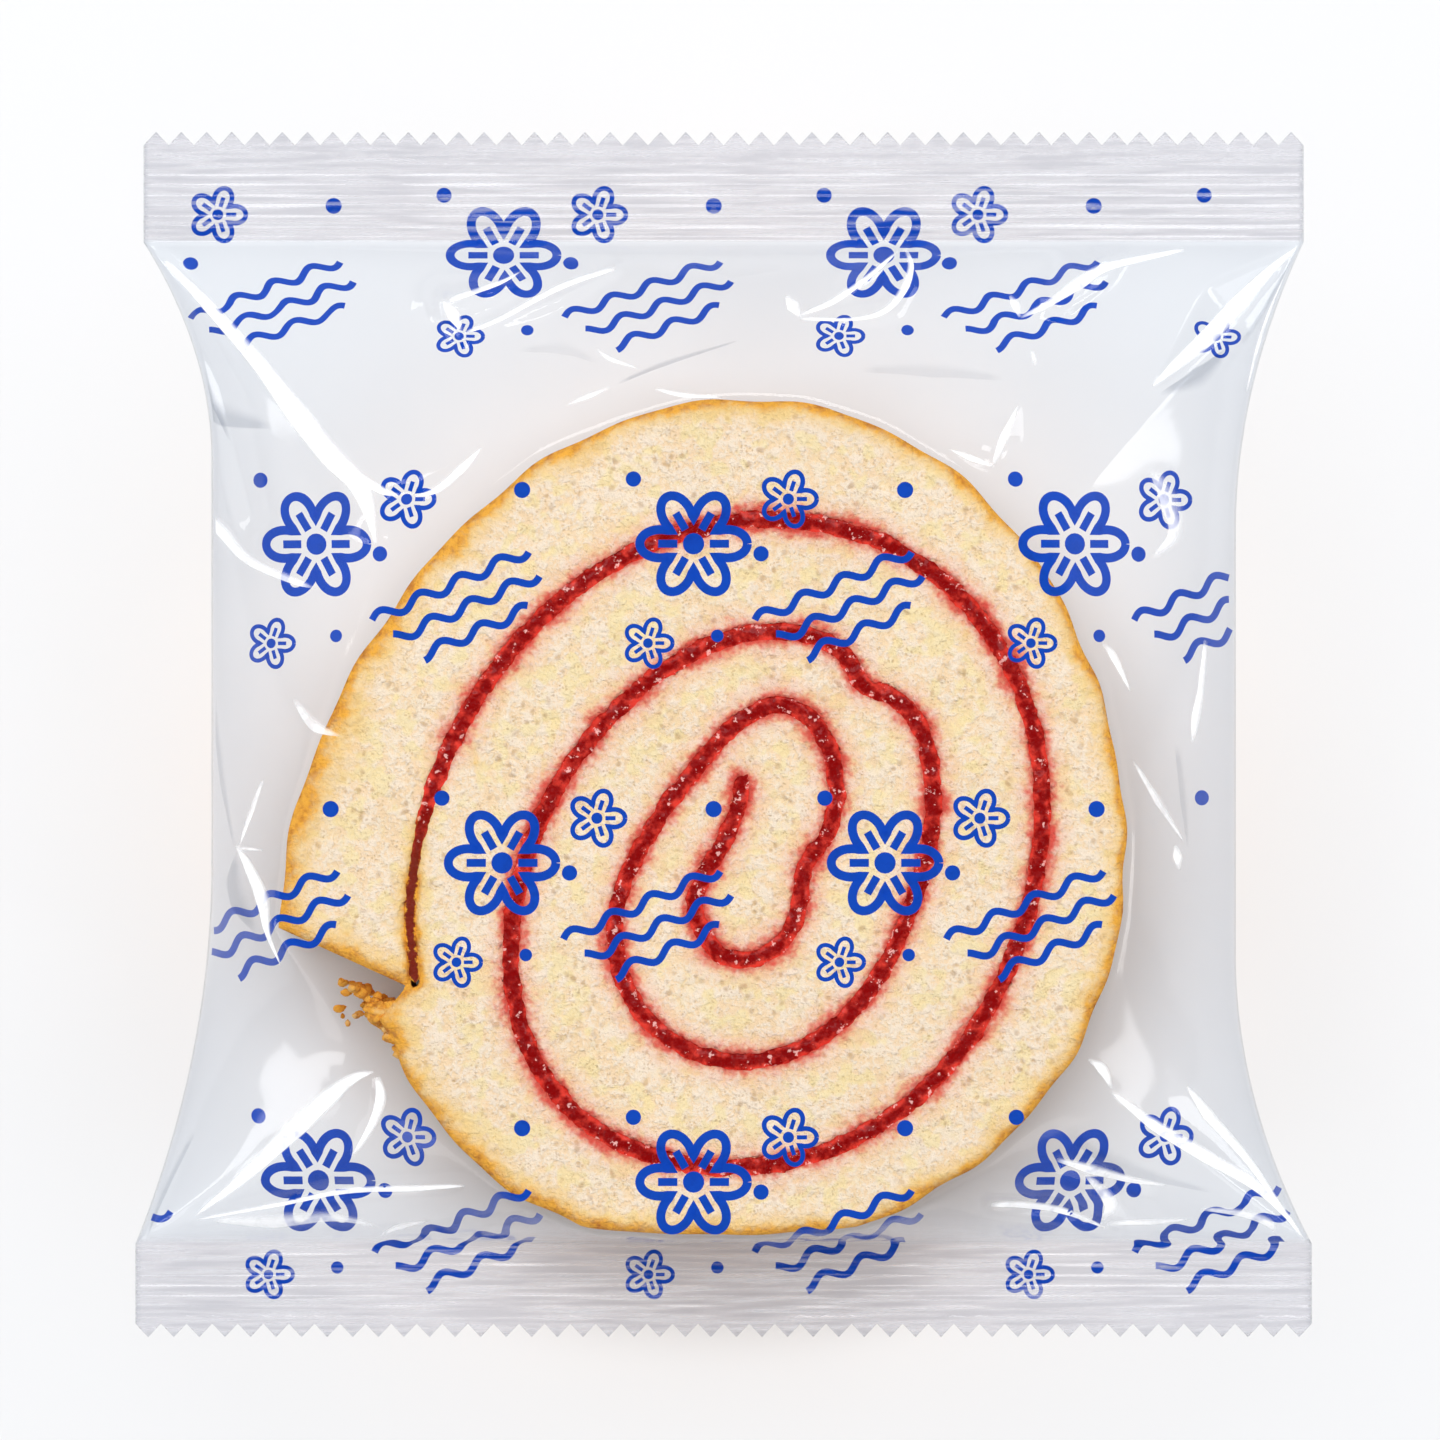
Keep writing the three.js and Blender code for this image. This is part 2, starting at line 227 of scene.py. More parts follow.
def skin_radius(degrees):
    """How far the skin lies from the middle of the roll."""
    radius = SKIN_CORE + SKIN_PITCH * (degrees - SKIN_FIRST) / 360
    for count, high, at in SKIN_WAVES:
        radius = radius + high * np.cos(count * np.radians(degrees - at))
    return radius


def even_line(points, spacing):
    """A polyline with points about one spacing apart."""
    steps = np.hypot(*np.diff(points, axis=0).T)
    along = np.concatenate([[0], np.cumsum(steps)])
    count = max(2, int(round(along[-1] / spacing)) + 1)
    wanted = np.linspace(0, along[-1], count)
    return np.stack([np.interp(wanted, along, points[:, k]) for k in (0, 1)], axis=-1)


def rounded_line(points, spacing):
    """A Catmull-Rom curve through the points, with its own points evenly spaced."""
    first = 2 * points[0] - points[1]
    last = 2 * points[-1] - points[-2]
    knots = np.concatenate([[first], points, [last]])
    share = np.linspace(0, 1, 24, endpoint=False)[:, None]
    spans = []
    for a, b, c, d in zip(knots, knots[1:], knots[2:], knots[3:]):
        bend = (2 * a - 5 * b + 4 * c - d) * share**2 + (3 * b - a - 3 * c + d) * share**3
        spans.append(0.5 * (2 * b + (c - a) * share + bend))
    return even_line(np.concatenate(spans + [points[-1:]]), spacing)


def jam_line(spacing):
    """The middle of the jam, from its inner end out to the flap."""
    hook = np.array(HOOK) + (ROLL_X, ROLL_Y)
    degrees = np.arange(SWIRL_FIRST, SWIRL_LAST + 1, SWIRL_STEP)
    return rounded_line(np.concatenate([hook, around(jam_radius(degrees), degrees)]), spacing)


def rind_line(spacing):
    """The slice's outline: from the lip round the skin to the flap's tip, and back in over the notch."""
    degrees = np.arange(SKIN_FIRST, SKIN_LAST + 0.5, 1)
    skin = around(skin_radius(degrees), degrees)
    low = skin[:, 1] < PRESSED_FROM
    skin[low, 1] = PRESSED_FROM + (skin[low, 1] - PRESSED_FROM) * PRESSED_SHARE
    lip = around(*NOTCH_LIP)
    notch = around(*JAM_END)
    return even_line(np.concatenate([[lip], skin, [notch], [lip]]), spacing)


def unit_normals(line):
    """Unit vectors to the right of a line's direction of travel."""
    along = np.gradient(line, axis=0)
    along /= np.hypot(*along.T)[:, None]
    return np.stack([along[:, 1], -along[:, 0]], axis=-1)


def tree_of(line):
    """A search tree over the points of a line."""
    tree = kdtree.KDTree(len(line))
    for index, (x, y) in enumerate(line):
        tree.insert((x, y, 0), index)
    tree.balance()
    return tree


class RollField:
    """Distances, in millimetres, from any point of the cut face to the jam's middle and to the skin."""

    def __init__(self):
        self.jam = jam_line(0.15)
        self.rind = rind_line(0.15)
        self.rind_out = unit_normals(self.rind)
        self.jam_tree = tree_of(self.jam)
        self.rind_tree = tree_of(self.rind)

    def jam_at(self, x, y):
        """Distance to the jam's middle, the nearest point there, and how far along it is, 0 to 1."""
        _, index, distance = self.jam_tree.find((x, y, 0))
        return distance, self.jam[index], index / (len(self.jam) - 1)

    def skin_at(self, x, y):
        """Depth under the skin, negative outside, and the nearest point of the skin."""
        _, index, distance = self.rind_tree.find((x, y, 0))
        nearest = self.rind[index]
        out = (x - nearest[0]) * self.rind_out[index][0] + (y - nearest[1]) * self.rind_out[index][1]
        return (-distance if out > 0 else distance), nearest


def rough(x, y, size, seed):
    """Smooth noise from -1 to 1 whose lumps are about one size across."""
    return noise.noise(Vector((x / size, y / size, seed)))


def ease_in(value, low, high):
    """From 0 to 1 as the value goes from low to high."""
    return min(1.0, max(0.0, (value - low) / (high - low)))


def float_layer(bm, name):
    """A number that the mesh holds for each vertex, which a material reads by this name."""
    return bm.verts.layers.float.get(name) or bm.verts.layers.float.new(name)


def face_up(bm):
    """Turns every face of a flat-lying piece so that it faces up."""
    bm.normal_update()
    bmesh.ops.reverse_faces(bm, faces=[face for face in bm.faces if face.normal.z < 0])


def finish_piece(name, bm, material, node, slot):
    """Makes an object of a mesh worked out in millimetres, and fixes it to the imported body."""
    bmesh.ops.scale(bm, vec=(MM, MM, MM), verts=bm.verts)
    mesh = bpy.data.meshes.new(name)
    bm.to_mesh(mesh)
    bm.free()
    mesh.shade_smooth()
    mesh.materials.append(material)
    piece = bpy.data.objects.new(name, mesh)
    bpy.context.scene.collection.objects.link(piece)
    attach(piece, "root")
    if node:
        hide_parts(node)
    if slot == "film":
        # The clear film takes almost nothing of the light on its way to the cake and back.
        piece.visible_shadow = False
        piece.visible_diffuse = False
    return piece


def add_node(tree, kind, inputs=None, **settings):
    """A node with its settings and inputs. An input is a value, or the socket that feeds it."""
    made = tree.nodes.new(kind)
    for name, value in settings.items():
        setattr(made, name, value)
    for name, value in (inputs or {}).items():
        if isinstance(value, bpy.types.NodeSocket):
            tree.links.new(value, made.inputs[name])
        else:
            made.inputs[name].default_value = value
    return made


def math_node(tree, operation, *values):
    """A Math node's result."""
    return add_node(tree, "ShaderNodeMath", dict(enumerate(values)), operation=operation).outputs[0]


def times(tree, first, second):
    """The product of two values."""
    return math_node(tree, "MULTIPLY", first, second)


def plus(tree, first, second):
    """The sum of two values."""
    return math_node(tree, "ADD", first, second)


def stray(tree, value, speckle, reach):
    """The value, moved up and down by a noise that lies round a half."""
    return plus(tree, value, times(tree, math_node(tree, "SUBTRACT", speckle, 0.5), reach))


def ease(tree, value, low, high, start=0.0, end=1.0):
    """A smooth step from start to end as the value goes from low to high."""
    made = add_node(
        tree,
        "ShaderNodeMapRange",
        {"Value": value, "From Min": low, "From Max": high, "To Min": start, "To Max": end},
        interpolation_type="SMOOTHSTEP",
    )
    return made.outputs[0]


def blend(tree, factor, first, second):
    """A Mix node on two colours."""
    made = add_node(tree, "ShaderNodeMix", data_type="RGBA")
    for index, value in ((0, factor), (6, first), (7, second)):
        if isinstance(value, bpy.types.NodeSocket):
            tree.links.new(value, made.inputs[index])
        elif index == 0:
            made.inputs[index].default_value = value
        else:
            made.inputs[index].default_value = (*value[:3], 1)
    return made.outputs[2]


def noise_node(tree, vector, scale, detail, roughness):
    """A noise's value, from 0 to 1."""
    made = add_node(
        tree,
        "ShaderNodeTexNoise",
        {"Vector": vector, "Scale": scale, "Detail": detail, "Roughness": roughness},
    )
    return made.outputs["Fac"]


def cells_node(tree, vector, scale):
    """The distance from the middle of the nearest cell."""
    made = add_node(tree, "ShaderNodeTexVoronoi", {"Vector": vector, "Scale": scale})
    return made.outputs["Distance"]


def mix_shaders(tree, share, first, second):
    """The two shaders, with this share of the second."""
    inputs = {0: share, 1: first.outputs[0], 2: second.outputs[0]}
    return add_node(tree, "ShaderNodeMixShader", inputs)


def new_material(name):
    """An empty material, its tree, its output and the place on the object."""
    material = bpy.data.materials.new(name)
    material.use_nodes = True
    tree = material.node_tree
    tree.nodes.clear()
    output = add_node(tree, "ShaderNodeOutputMaterial")
    place = add_node(tree, "ShaderNodeTexCoord").outputs["Object"]
    return material, tree, output, place


def near(tree, name):
    """The value that a piece's mesh holds under this name."""
    return add_node(tree, "ShaderNodeAttribute", attribute_name=name).outputs["Fac"]


def crumb_group():
    """The crumb's grain: how light it is, where its pores are, and how high it stands."""
    name = "Crumb Grain"
    if name in bpy.data.node_groups:
        return bpy.data.node_groups[name]
    tree = bpy.data.node_groups.new(name, "ShaderNodeTree")
    tree.interface.new_socket("Vector", in_out="INPUT", socket_type="NodeSocketVector")
    size = tree.interface.new_socket("Size", in_out="INPUT", socket_type="NodeSocketFloat")
    size.default_value = 1.0
    for output in ("Light", "Pores", "Height"):
        tree.interface.new_socket(output, in_out="OUTPUT", socket_type="NodeSocketFloat")
    given = add_node(tree, "NodeGroupInput")
    scaled = add_node(
        tree,
        "ShaderNodeVectorMath",
        {0: given.outputs["Vector"], "Scale": given.outputs["Size"]},
        operation="SCALE",
    ).outputs[0]
    drift = add_node(tree, "ShaderNodeTexNoise", {"Vector": scaled, "Scale": 900.0, "Detail": 0.0})
    bent = add_node(
        tree,
        "ShaderNodeVectorMath",
        {0: drift.outputs["Color"], 1: (0.0007, 0.0007, 0.0007), 2: scaled},
        operation="MULTIPLY_ADD",
    ).outputs[0]
    fine = noise_node(tree, scaled, 2700.0, 2.0, 0.7)
    middle = noise_node(tree, scaled, 1000.0, 2.0, 0.6)
    broad = noise_node(tree, scaled, 300.0, 1.0, 0.5)
    small = cells_node(tree, bent, 2300.0)
    large = cells_node(tree, bent, 760.0)
    small_pore = ease(tree, small, 0.4, 0.2)
    small_pick = ease(tree, noise_node(tree, scaled, 620.0, 1.0, 0.6), 0.46, 0.6, 0.0, 0.8)
    large_pore = ease(tree, large, 0.36, 0.12)
    large_pick = ease(tree, noise_node(tree, scaled, 240.0, 0.0, 0.5), 0.4, 0.66)
    small_pore = times(tree, small_pore, small_pick)
    pores = math_node(tree, "MAXIMUM", small_pore, times(tree, large_pore, large_pick))
    light = plus(tree, times(tree, plus(tree, fine, middle), 0.4), times(tree, broad, 0.2))
    height = plus(tree, times(tree, fine, 0.6), middle)
    result = add_node(tree, "NodeGroupOutput")
    tree.links.new(light, result.inputs["Light"])
    tree.links.new(pores, result.inputs["Pores"])
    tree.links.new(height, result.inputs["Height"])
    return tree


def sponge_material(cake, jam):
    """Cream crumb with pores, stained beside the jam and baked golden under the skin, with painted shade in
    its pores.
    """
    material, tree, output, place = new_material("crumb_and_crust")
    grain = add_node(tree, "ShaderNodeGroup", node_tree=crumb_group())
    tree.links.new(place, grain.inputs["Vector"])
    patches = noise_node(tree, place, 260.0, 3.0, 0.6)
    colour = blend(tree, ease(tree, grain.outputs["Light"], 0.42, 0.56), cake.crumb_shade, cake.crumb)
    egg = ease(tree, noise_node(tree, place, 520.0, 1.0, 0.5), 0.5, 0.64, 0.0, 0.65)
    colour = blend(tree, egg, colour, cake.egg)
    # Painted shade: the crumb turns darker and yellower where its pores go deep.
    colour = blend(tree, times(tree, near(tree, "pit"), 0.45), colour, cake.egg)
    # Painted shade in the pores of the grain.
    colour = blend(tree, times(tree, grain.outputs["Pores"], 0.55), colour, cake.pore_painted_shade)

    jam_near = near(tree, "jam_near")
    soak = stray(tree, jam_near, patches, -3.0)
    fleck = noise_node(tree, place, 1500.0, 1.0, 0.6)
    soak = stray(tree, soak, fleck, -1.5)
    pink = ease(tree, soak, 1.0, 4.0, 0.36, 0.0)
    red = ease(tree, soak, 0.6, 2.1, 1.0, 0.0)
    colour = blend(tree, pink, colour, jam.stain)
    colour = blend(tree, red, colour, jam.soaked)

    skin_near = near(tree, "skin_near")
    baked = stray(tree, skin_near, patches, -2.6)
    flecks = noise_node(tree, place, 900.0, 2.0, 0.7)
    baked = stray(tree, baked, flecks, -1.1)
    crust = blend(tree, ease(tree, flecks, 0.2, 0.62), cake.crust_dark, cake.crust)
    colour = blend(tree, ease(tree, baked, 0.5, 2.7, 0.85, 0.0), colour, cake.tan)
    colour = blend(tree, ease(tree, baked, 0.2, 1.15, 0.95, 0.0), colour, crust)

    bump = add_node(
        tree,
        "ShaderNodeBump",
        {"Strength": 0.9, "Distance": 0.0006, "Height": grain.outputs["Height"]},
    )
    body = add_node(
        tree,
        "ShaderNodeBsdfPrincipled",
        {
            "Base Color": colour,
            "Roughness": ease(tree, grain.outputs["Light"], 0.3, 0.7, 0.95, 0.75),
            "Normal": bump.outputs[0],
            "Specular IOR Level": 0.25,
        },
    )
    tree.links.new(body.outputs[0], output.inputs["Surface"])
    return material


def jam_material(cake, jam):
    """Wet red jam, dark where it is thick, with lumps that catch the light and small painted highlights."""
    material, tree, output, place = new_material("jam")
    lumps = noise_node(tree, place, 700.0, 4.0, 0.6)
    seeds = cells_node(tree, place, 1400.0)
    across = near(tree, "across")
    thin = stray(tree, across, lumps, 3.2)
    colour = blend(tree, ease(tree, thin, 0.1, 1.05), jam.deep, jam.bright)
    colour = blend(tree, ease(tree, seeds, 0.2, 0.05, 0.0, 0.6), colour, jam.deep)
    # Painted highlight: pinkish-white gleams painted where this noise peaks.
    painted = times(tree, ease(tree, noise_node(tree, place, 900.0, 3.0, 0.7), 0.6, 0.66), 0.75)
    colour = blend(tree, painted, colour, jam.painted_gleam)
    baked = near(tree, "baked")
    flecks = noise_node(tree, place, 900.0, 4.0, 0.7)
    crust = blend(tree, ease(tree, flecks, 0.2, 0.62), cake.crust_dark, cake.crust)
    gap = plus(tree, across, times(tree, flecks, 2.4))
    crust = blend(tree, ease(tree, gap, 1.75, 2.15), cake.crevice, crust)
    colour = blend(tree, baked, colour, crust)
    height = plus(tree, lumps, times(tree, seeds, -0.5))
    bump = add_node(tree, "ShaderNodeBump", {"Strength": 0.7, "Distance": 0.0005, "Height": height})
    body = add_node(
        tree,
        "ShaderNodeBsdfPrincipled",
        {
            "Base Color": colour,
            "Roughness": ease(tree, lumps, 0.3, 0.7, 0.18, 0.4),
            "Normal": bump.outputs[0],
            "Specular IOR Level": 0.15,
            "Coat Weight": ease(tree, baked, 0.0, 1.0, 0.25, 0.0),
            "Coat Roughness": 0.03,
        },
    )
    tree.links.new(body.outputs[0], output.inputs["Surface"])
    return material


# Past these shares of the spiral's length the skin shows beside the slot, the slot narrows by the
# share given, and the jam gives way to the flap's skin.
SKIN_FROM = (0.94, 0.975)
NARROW_FROM = (0.95, 0.97)
NARROW = 0.5
BARE_FROM = (0.955, 0.955 + 1 / 60)


def narrowed(along):
    """What share of its width the spiral keeps, at a share of its length."""
    return 1 - NARROW * ease_in(along, *NARROW_FROM)


def cut_grid(field, cell, slot_half):
    """One cut face as a fine grid, trimmed to the slice and to the sides of the jam's slot."""
    low = field.rind.min(axis=0) - 1
    high = field.rind.max(axis=0) + 1
    count = np.ceil((high - low) / cell).astype(int)
    bm = bmesh.new()
    bmesh.ops.create_grid(bm, x_segments=int(count[0]), y_segments=int(count[1]), size=0.5)
    for vert in bm.verts:
        vert.co.x = low[0] + (vert.co.x + 0.5) * count[0] * cell
        vert.co.y = low[1] + (vert.co.y + 0.5) * count[1] * cell

    def half_slot(x, y, along):
        return narrowed(along) * slot_half + 0.28 * rough(x, y, 1.9, 3) + 0.2 * rough(x, y, 0.8, 8)

    outside = []
    for face in bm.faces:
        x, y, _ = face.calc_center_median()
        skin, _ = field.skin_at(x, y)
        distance, _, along = field.jam_at(x, y)
        if min(skin, distance - half_slot(x, y, along)) < 0:
            outside.append(face)
    bmesh.ops.delete(bm, geom=outside, context="FACES")
    for vert in bm.verts:
        if not vert.is_boundary:
            continue
        x, y, _ = vert.co
        skin, edge = field.skin_at(x, y)
        distance, middle, along = field.jam_at(x, y)
        half = half_slot(x, y, along)
        if abs(skin) < abs(distance - half):
            vert.co.x, vert.co.y = edge
        elif distance > 0:
            vert.co.x = middle[0] + (x - middle[0]) * half / distance
            vert.co.y = middle[1] + (y - middle[1]) * half / distance
    return bm


# How far apart each kind of pore lies, and its reach as a share of that.
PORES = ((1.5, 0.36), (3.1, 0.3))


def crumb_relief(x, y, seed):
    """How deep the torn cut surface lies, from 0 to about 1, and how deep its pores are there."""
    grain = 0.5 + 0.5 * rough(x, y, 0.9, seed)
    swell = 0.5 + 0.5 * rough(x, y, 4.5, seed + 5)
    bend = 0.35 * rough(x, y, 1.2, seed + 9)
    pore = 0.0
    for size, reach in PORES:
        distances, _ = noise.voronoi(Vector((x / size + bend, y / size - bend, seed + size)))
        pore = max(pore, 1 - distances[0] / reach)
    return 0.28 * grain + 0.2 * swell + 0.55 * pore, pore


# The directions in which the skin is baked deeper, with the spread and the extra share of each.
WELL_BAKED = ((168, 30, 1.0), (222, 20, 0.7))


def baked_deep(x, y):
    """How deep the skin is baked, as a share of the usual: most at the upper left, uneven all round."""
    bearing = math.degrees(math.atan2(y - ROLL_Y, x - ROLL_X)) % 360
    left = sum(share * math.exp(-(((bearing - at) / wide) ** 2)) for at, wide, share in WELL_BAKED)
    return 1.1 + left + 0.5 * rough(x, y, 6.0, 55)


# Spots of baked skin that the rolling pressed into the crumb, with the reach of each.
BAKED_SPOTS = ((36.0, 14.5, 1.7), (26.6, 10.6, 1.3), (-27.3, -3.1, 1.0), (-26.6, -45.2, 1.6))
# How many rows of points the skin's wall gets between its two edges.
WALL_CUTS = 13
# How far the edge of the cut face is rounded off, and how wide that is.
EDGE_ROUND = (0.7, 0.9)


def make_sponge(cake, jam):
    """The rolled sponge: two torn cut faces, the walls of the jam's slot, and the swelling skin."""
    field = RollField()
    bm = cut_grid(field, cake.cell / MM, jam.half_wide / MM - 0.25)
    jam_near = float_layer(bm, "jam_near")
    skin_near = float_layer(bm, "skin_near")
    pit = float_layer(bm, "pit")
    for vert in bm.verts:
        x, y, _ = vert.co
        distance, _, along = field.jam_at(x, y)
        skin, _ = field.skin_at(x, y)
        past = ease_in(along, *SKIN_FROM)
        vert[jam_near] = distance + 4 * past
        depth = max(skin, 0.0) / baked_deep(x, y)
        vert[skin_near] = min(depth, 2.4 * (1 - past) + 0.1 + 1.3 * max(0.0, distance - 0.5))
        for spot_x, spot_y, reach in BAKED_SPOTS:
            away = math.hypot(x - spot_x, y - spot_y) / reach
            vert[skin_near] = min(vert[skin_near], 0.9 + 1.6 * away)
    made = bmesh.ops.extrude_face_region(bm, geom=bm.faces[:])
    front = [part for part in made["geom"] if isinstance(part, bmesh.types.BMVert)]
    bmesh.ops.translate(bm, vec=(0, 0, FACE), verts=front)
    walls = [
        edge
        for edge in bm.edges
        if abs(edge.verts[0].co.z - edge.verts[1].co.z) > 1 and edge.verts[0][skin_near] < 0.02
    ]
    bmesh.ops.subdivide_edges(bm, edges=walls, cuts=WALL_CUTS, use_grid_fill=True)
    bmesh.ops.recalc_face_normals(bm, faces=bm.faces)
    deep = cake.pore / MM
    for vert in bm.verts:
        x, y, z = vert.co
        skin = vert[skin_near]
        is_front = z > FACE - 0.01
        if is_front or z < BACK + 0.01:
            rounding = EDGE_ROUND[0] * max(0.0, 1 - skin / EDGE_ROUND[1]) ** 2
            relief, vert[pit] = crumb_relief(x, y, 1 if is_front else 40)
            relief = deep * relief + rounding
            vert.co.z = FACE - relief if is_front else BACK + relief
        if skin < 0.02:
            out = Vector((x - ROLL_X, y - ROLL_Y)).normalized()
            swell = 0.3 * rough(x + z, y - z, 3.1, 11) + 0.22 * rough(x - z, y + z, 1.1, 12) - 0.2
            middle = 1 - abs(2 * (z - BACK) / (FACE - BACK) - 1) ** 6
            vert.co.x += out.x * swell * middle
            vert.co.y += out.y * swell * middle
    return finish_piece("sponge_crumb", bm, sponge_material(cake, jam), "sponge", "sponge")


# The steps of the jam's band: along the spiral, over its top, and down its walls.
JAM_STEP = 0.4
JAM_TOP_STEPS = 7
JAM_WALL_STEPS = 3
# How far the jam lies under the cut face in its middle, and how much further at its sides.
JAM_SUNK = (0.42, 0.25)


def make_jam(cake, jam):
    """A lumpy band along the spiral, right through the slice, closed at both ends."""
    line = jam_line(JAM_STEP)
    line = even_line(np.concatenate([[line[0] + 1.3 * (line[0] - line[3])], line]), JAM_STEP)
    out = unit_normals(line)
    rows = len(line) - 1
    top = [-1 + 2 * step / JAM_TOP_STEPS for step in range(JAM_TOP_STEPS)]
    wall = [1 - 2 * step / JAM_WALL_STEPS for step in range(JAM_WALL_STEPS)]
    section = [(side, 1.0) for side in top] + [(1.0, level) for level in wall]
    section += [(-side, -1.0) for side in top] + [(-1.0, -level) for level in wall]
    columns = len(section)
    section.append(section[0])
    bm = bmesh.new()
    bmesh.ops.create_grid(bm, x_segments=columns, y_segments=rows, size=0.5)
    across = float_layer(bm, "across")
    baked = float_layer(bm, "baked")
    lump = jam.lump / MM
    half_thick = (FACE - BACK) / 2
    for vert in bm.verts:
        row = round((vert.co.y + 0.5) * rows)
        side, level = section[round((vert.co.x + 0.5) * columns)]
        x, y = line[row]
        end = min(1.0, row / 3, (rows - row) / 4)
        half = jam.half_wide / MM * (1.12 + 0.32 * rough(x, y, 3.7, 21) + 0.16 * rough(x, y, 1.3, 22))
        half *= math.sqrt(max(0.0, 1 - (1 - end) ** 2)) * narrowed(row / rows)
        px = x + out[row][0] * side * half
        py = y + out[row][1] * side * half
        lumps = 0.7 * rough(px, py, 1.4, 31 + level) + 0.5 * rough(px, py, 0.6, 35 + level)
        drop = JAM_SUNK[0] + JAM_SUNK[1] * side * side + lump * lumps
        vert.co = (px, py, (FACE + BACK) / 2 + level * (half_thick - drop))
        vert[across] = abs(side)
        vert[baked] = ease_in(row / rows, *BARE_FROM)
    bmesh.ops.remove_doubles(bm, verts=bm.verts, dist=1e-4)
    bmesh.ops.recalc_face_normals(bm, faces=bm.faces)
    return finish_piece("jam_spread", bm, jam_material(cake, jam), "jam", "jam")


# The strands of torn skin between the flap and the lip below it: where each starts and ends, and
# how low and how high its lumps lie.
FLAKES = (
    ((-42.0, -27.3), (-36.8, -29.8), 9, 24),
    ((-38.9, -30.2), (-34.8, -35.4), 21, 24.4),
    ((-38.6, -30.4), (-35.3, -30.2), 20, 24.4),
)
# How many lumps make each strand of the flake, how many crumbs lie loose, and the random seed.
FLAKE_LUMPS = 22
LOOSE_CRUMBS = 12
CRUMB_SEED = 7


def make_crumbs(cake, jam):
    """The torn flake under the flap, and the loose crumbs round it."""
    random.seed(CRUMB_SEED)
    bm = bmesh.new()
    flake = []
    for start, end, low, high in FLAKES:
        for step in range(FLAKE_LUMPS):
            place = Vector(start).lerp(Vector(end), step / (FLAKE_LUMPS - 1))
            spread = Vector((random.gauss(0, 0.35), random.gauss(0, 0.35)))
            flake.append((*(place + spread), random.uniform(low, high), random.uniform(0.35, 0.85)))
    loose = []
    for _ in range(LOOSE_CRUMBS):
        place = (-43 + random.random() * 6, -33 + random.random() * 4)
        loose.append((*place, random.uniform(2, 14), random.uniform(0.25, 0.5)))
    for x, y, z, size in flake + loose:
        made = bmesh.ops.create_icosphere(bm, subdivisions=2, radius=size)
        stretch = Vector((random.uniform(0.8, 1.5), random.uniform(0.6, 1.1), random.uniform(0.6, 1.6)))
        for vert in made["verts"]:
            lump = 1 + 0.35 * noise.noise(vert.co / size * 1.3 + Vector((x, y, z)))
            lump += 0.15 * noise.noise(vert.co / size * 3.5 + Vector((y, z, x)))
            vert.co = Vector((x, y, z)) + Vector(a * b for a, b in zip(vert.co * lump, stretch))
    jam_near = float_layer(bm, "jam_near")
    skin_near = float_layer(bm, "skin_near")
    for vert in bm.verts:
        vert[jam_near] = 8.0
        vert[skin_near] = 0.1 + rough(vert.co.x, vert.co.y, 1.5, 50)
    bmesh.ops.recalc_face_normals(bm, faces=bm.faces)
    material = bpy.data.materials.get("crumb_and_crust") or sponge_material(cake, jam)
    return finish_piece("crumbs", bm, material, None, "sponge")


def half_width(y, side):
    """Half the bag's width at a height along it, on its left (-1) or right (1) side."""
    left_top, right_top = FLARE_TOP
    left_bottom, right_bottom = FLARE_BOTTOM
    from_top = np.maximum(0, 1 - np.maximum(0, TOP_LINE - y) / np.where(side > 0, right_top, left_top))
    from_bottom = np.maximum(
        0, 1 - np.maximum(0, y - BOTTOM_LINE) / np.where(side > 0, right_bottom, left_bottom)
    )
    return WAIST + (TOP_HALF - WAIST) * from_top**2 + (BAG_HALF - WAIST) * from_bottom**2


def edge_radius(degrees):
    """Distance from the middle of the roll to the bag's edge, in each direction."""
    near_by = np.zeros_like(degrees)
    far_off = np.full_like(degrees, 2 * BAG_HALF)
    for _ in range(30):
        middle = (near_by + far_off) / 2
        x, y = around(middle, degrees).T
        inside = (y < TOP_LINE) & (y > BOTTOM_LINE) & (np.abs(x) < half_width(y, np.sign(x)))
        near_by = np.where(inside, middle, near_by)
        far_off = np.where(inside, far_off, middle)
    return near_by


def rim_radius(degrees, rind):
    """Distance from the middle of the roll to where the taut film leaves the cut face."""
    bearings = np.radians(np.arange(0, 360, 2))
    ways = np.stack([np.cos(bearings), np.sin(bearings)])
    reach = ((rind - (ROLL_X, ROLL_Y)) @ ways).max(axis=0) + 0.3
    lean = np.cos(np.radians(degrees)[:, None] - bearings[None, :])
    return np.where(lean > 0.2, reach / np.maximum(lean, 0.2), 2 * BAG_HALF).min(axis=1)


# How far the ink lies under the front film.
INK_UNDER = Vector((0, 0, 0.07))
# The print, in millimetres on the flat film: rosettes, dots and three short waves in each cell.
INK_PITCH = np.array([42.0, 35.0])
INK_SHIFT = np.array([5.7, 11.0])
INK_ROSETTES = (((-9.0, 5.5), 5.9, 6), ((1.4, 10.4), 3.1, 5), ((-14.0, -5.4), 2.7, 5))
INK_DOTS = (((-1.6, 4.4), 0.85), ((-15.6, 12.6), 0.85), ((-6.4, -4.6), 0.7), ((14.2, 11.4), 0.9))
WAVE_PLACE = np.array([6.4, 1.0])
WAVE_LEAN = 24
WAVE_HALF = 0.4
WAVE_HIGH = 0.62
WAVE_LONG = 4.75
WAVE_GAP = 2.9
WAVE_SPANS = ((-9.5, 9.5), (-8.0, 9.5), (-6.0, 7.0))

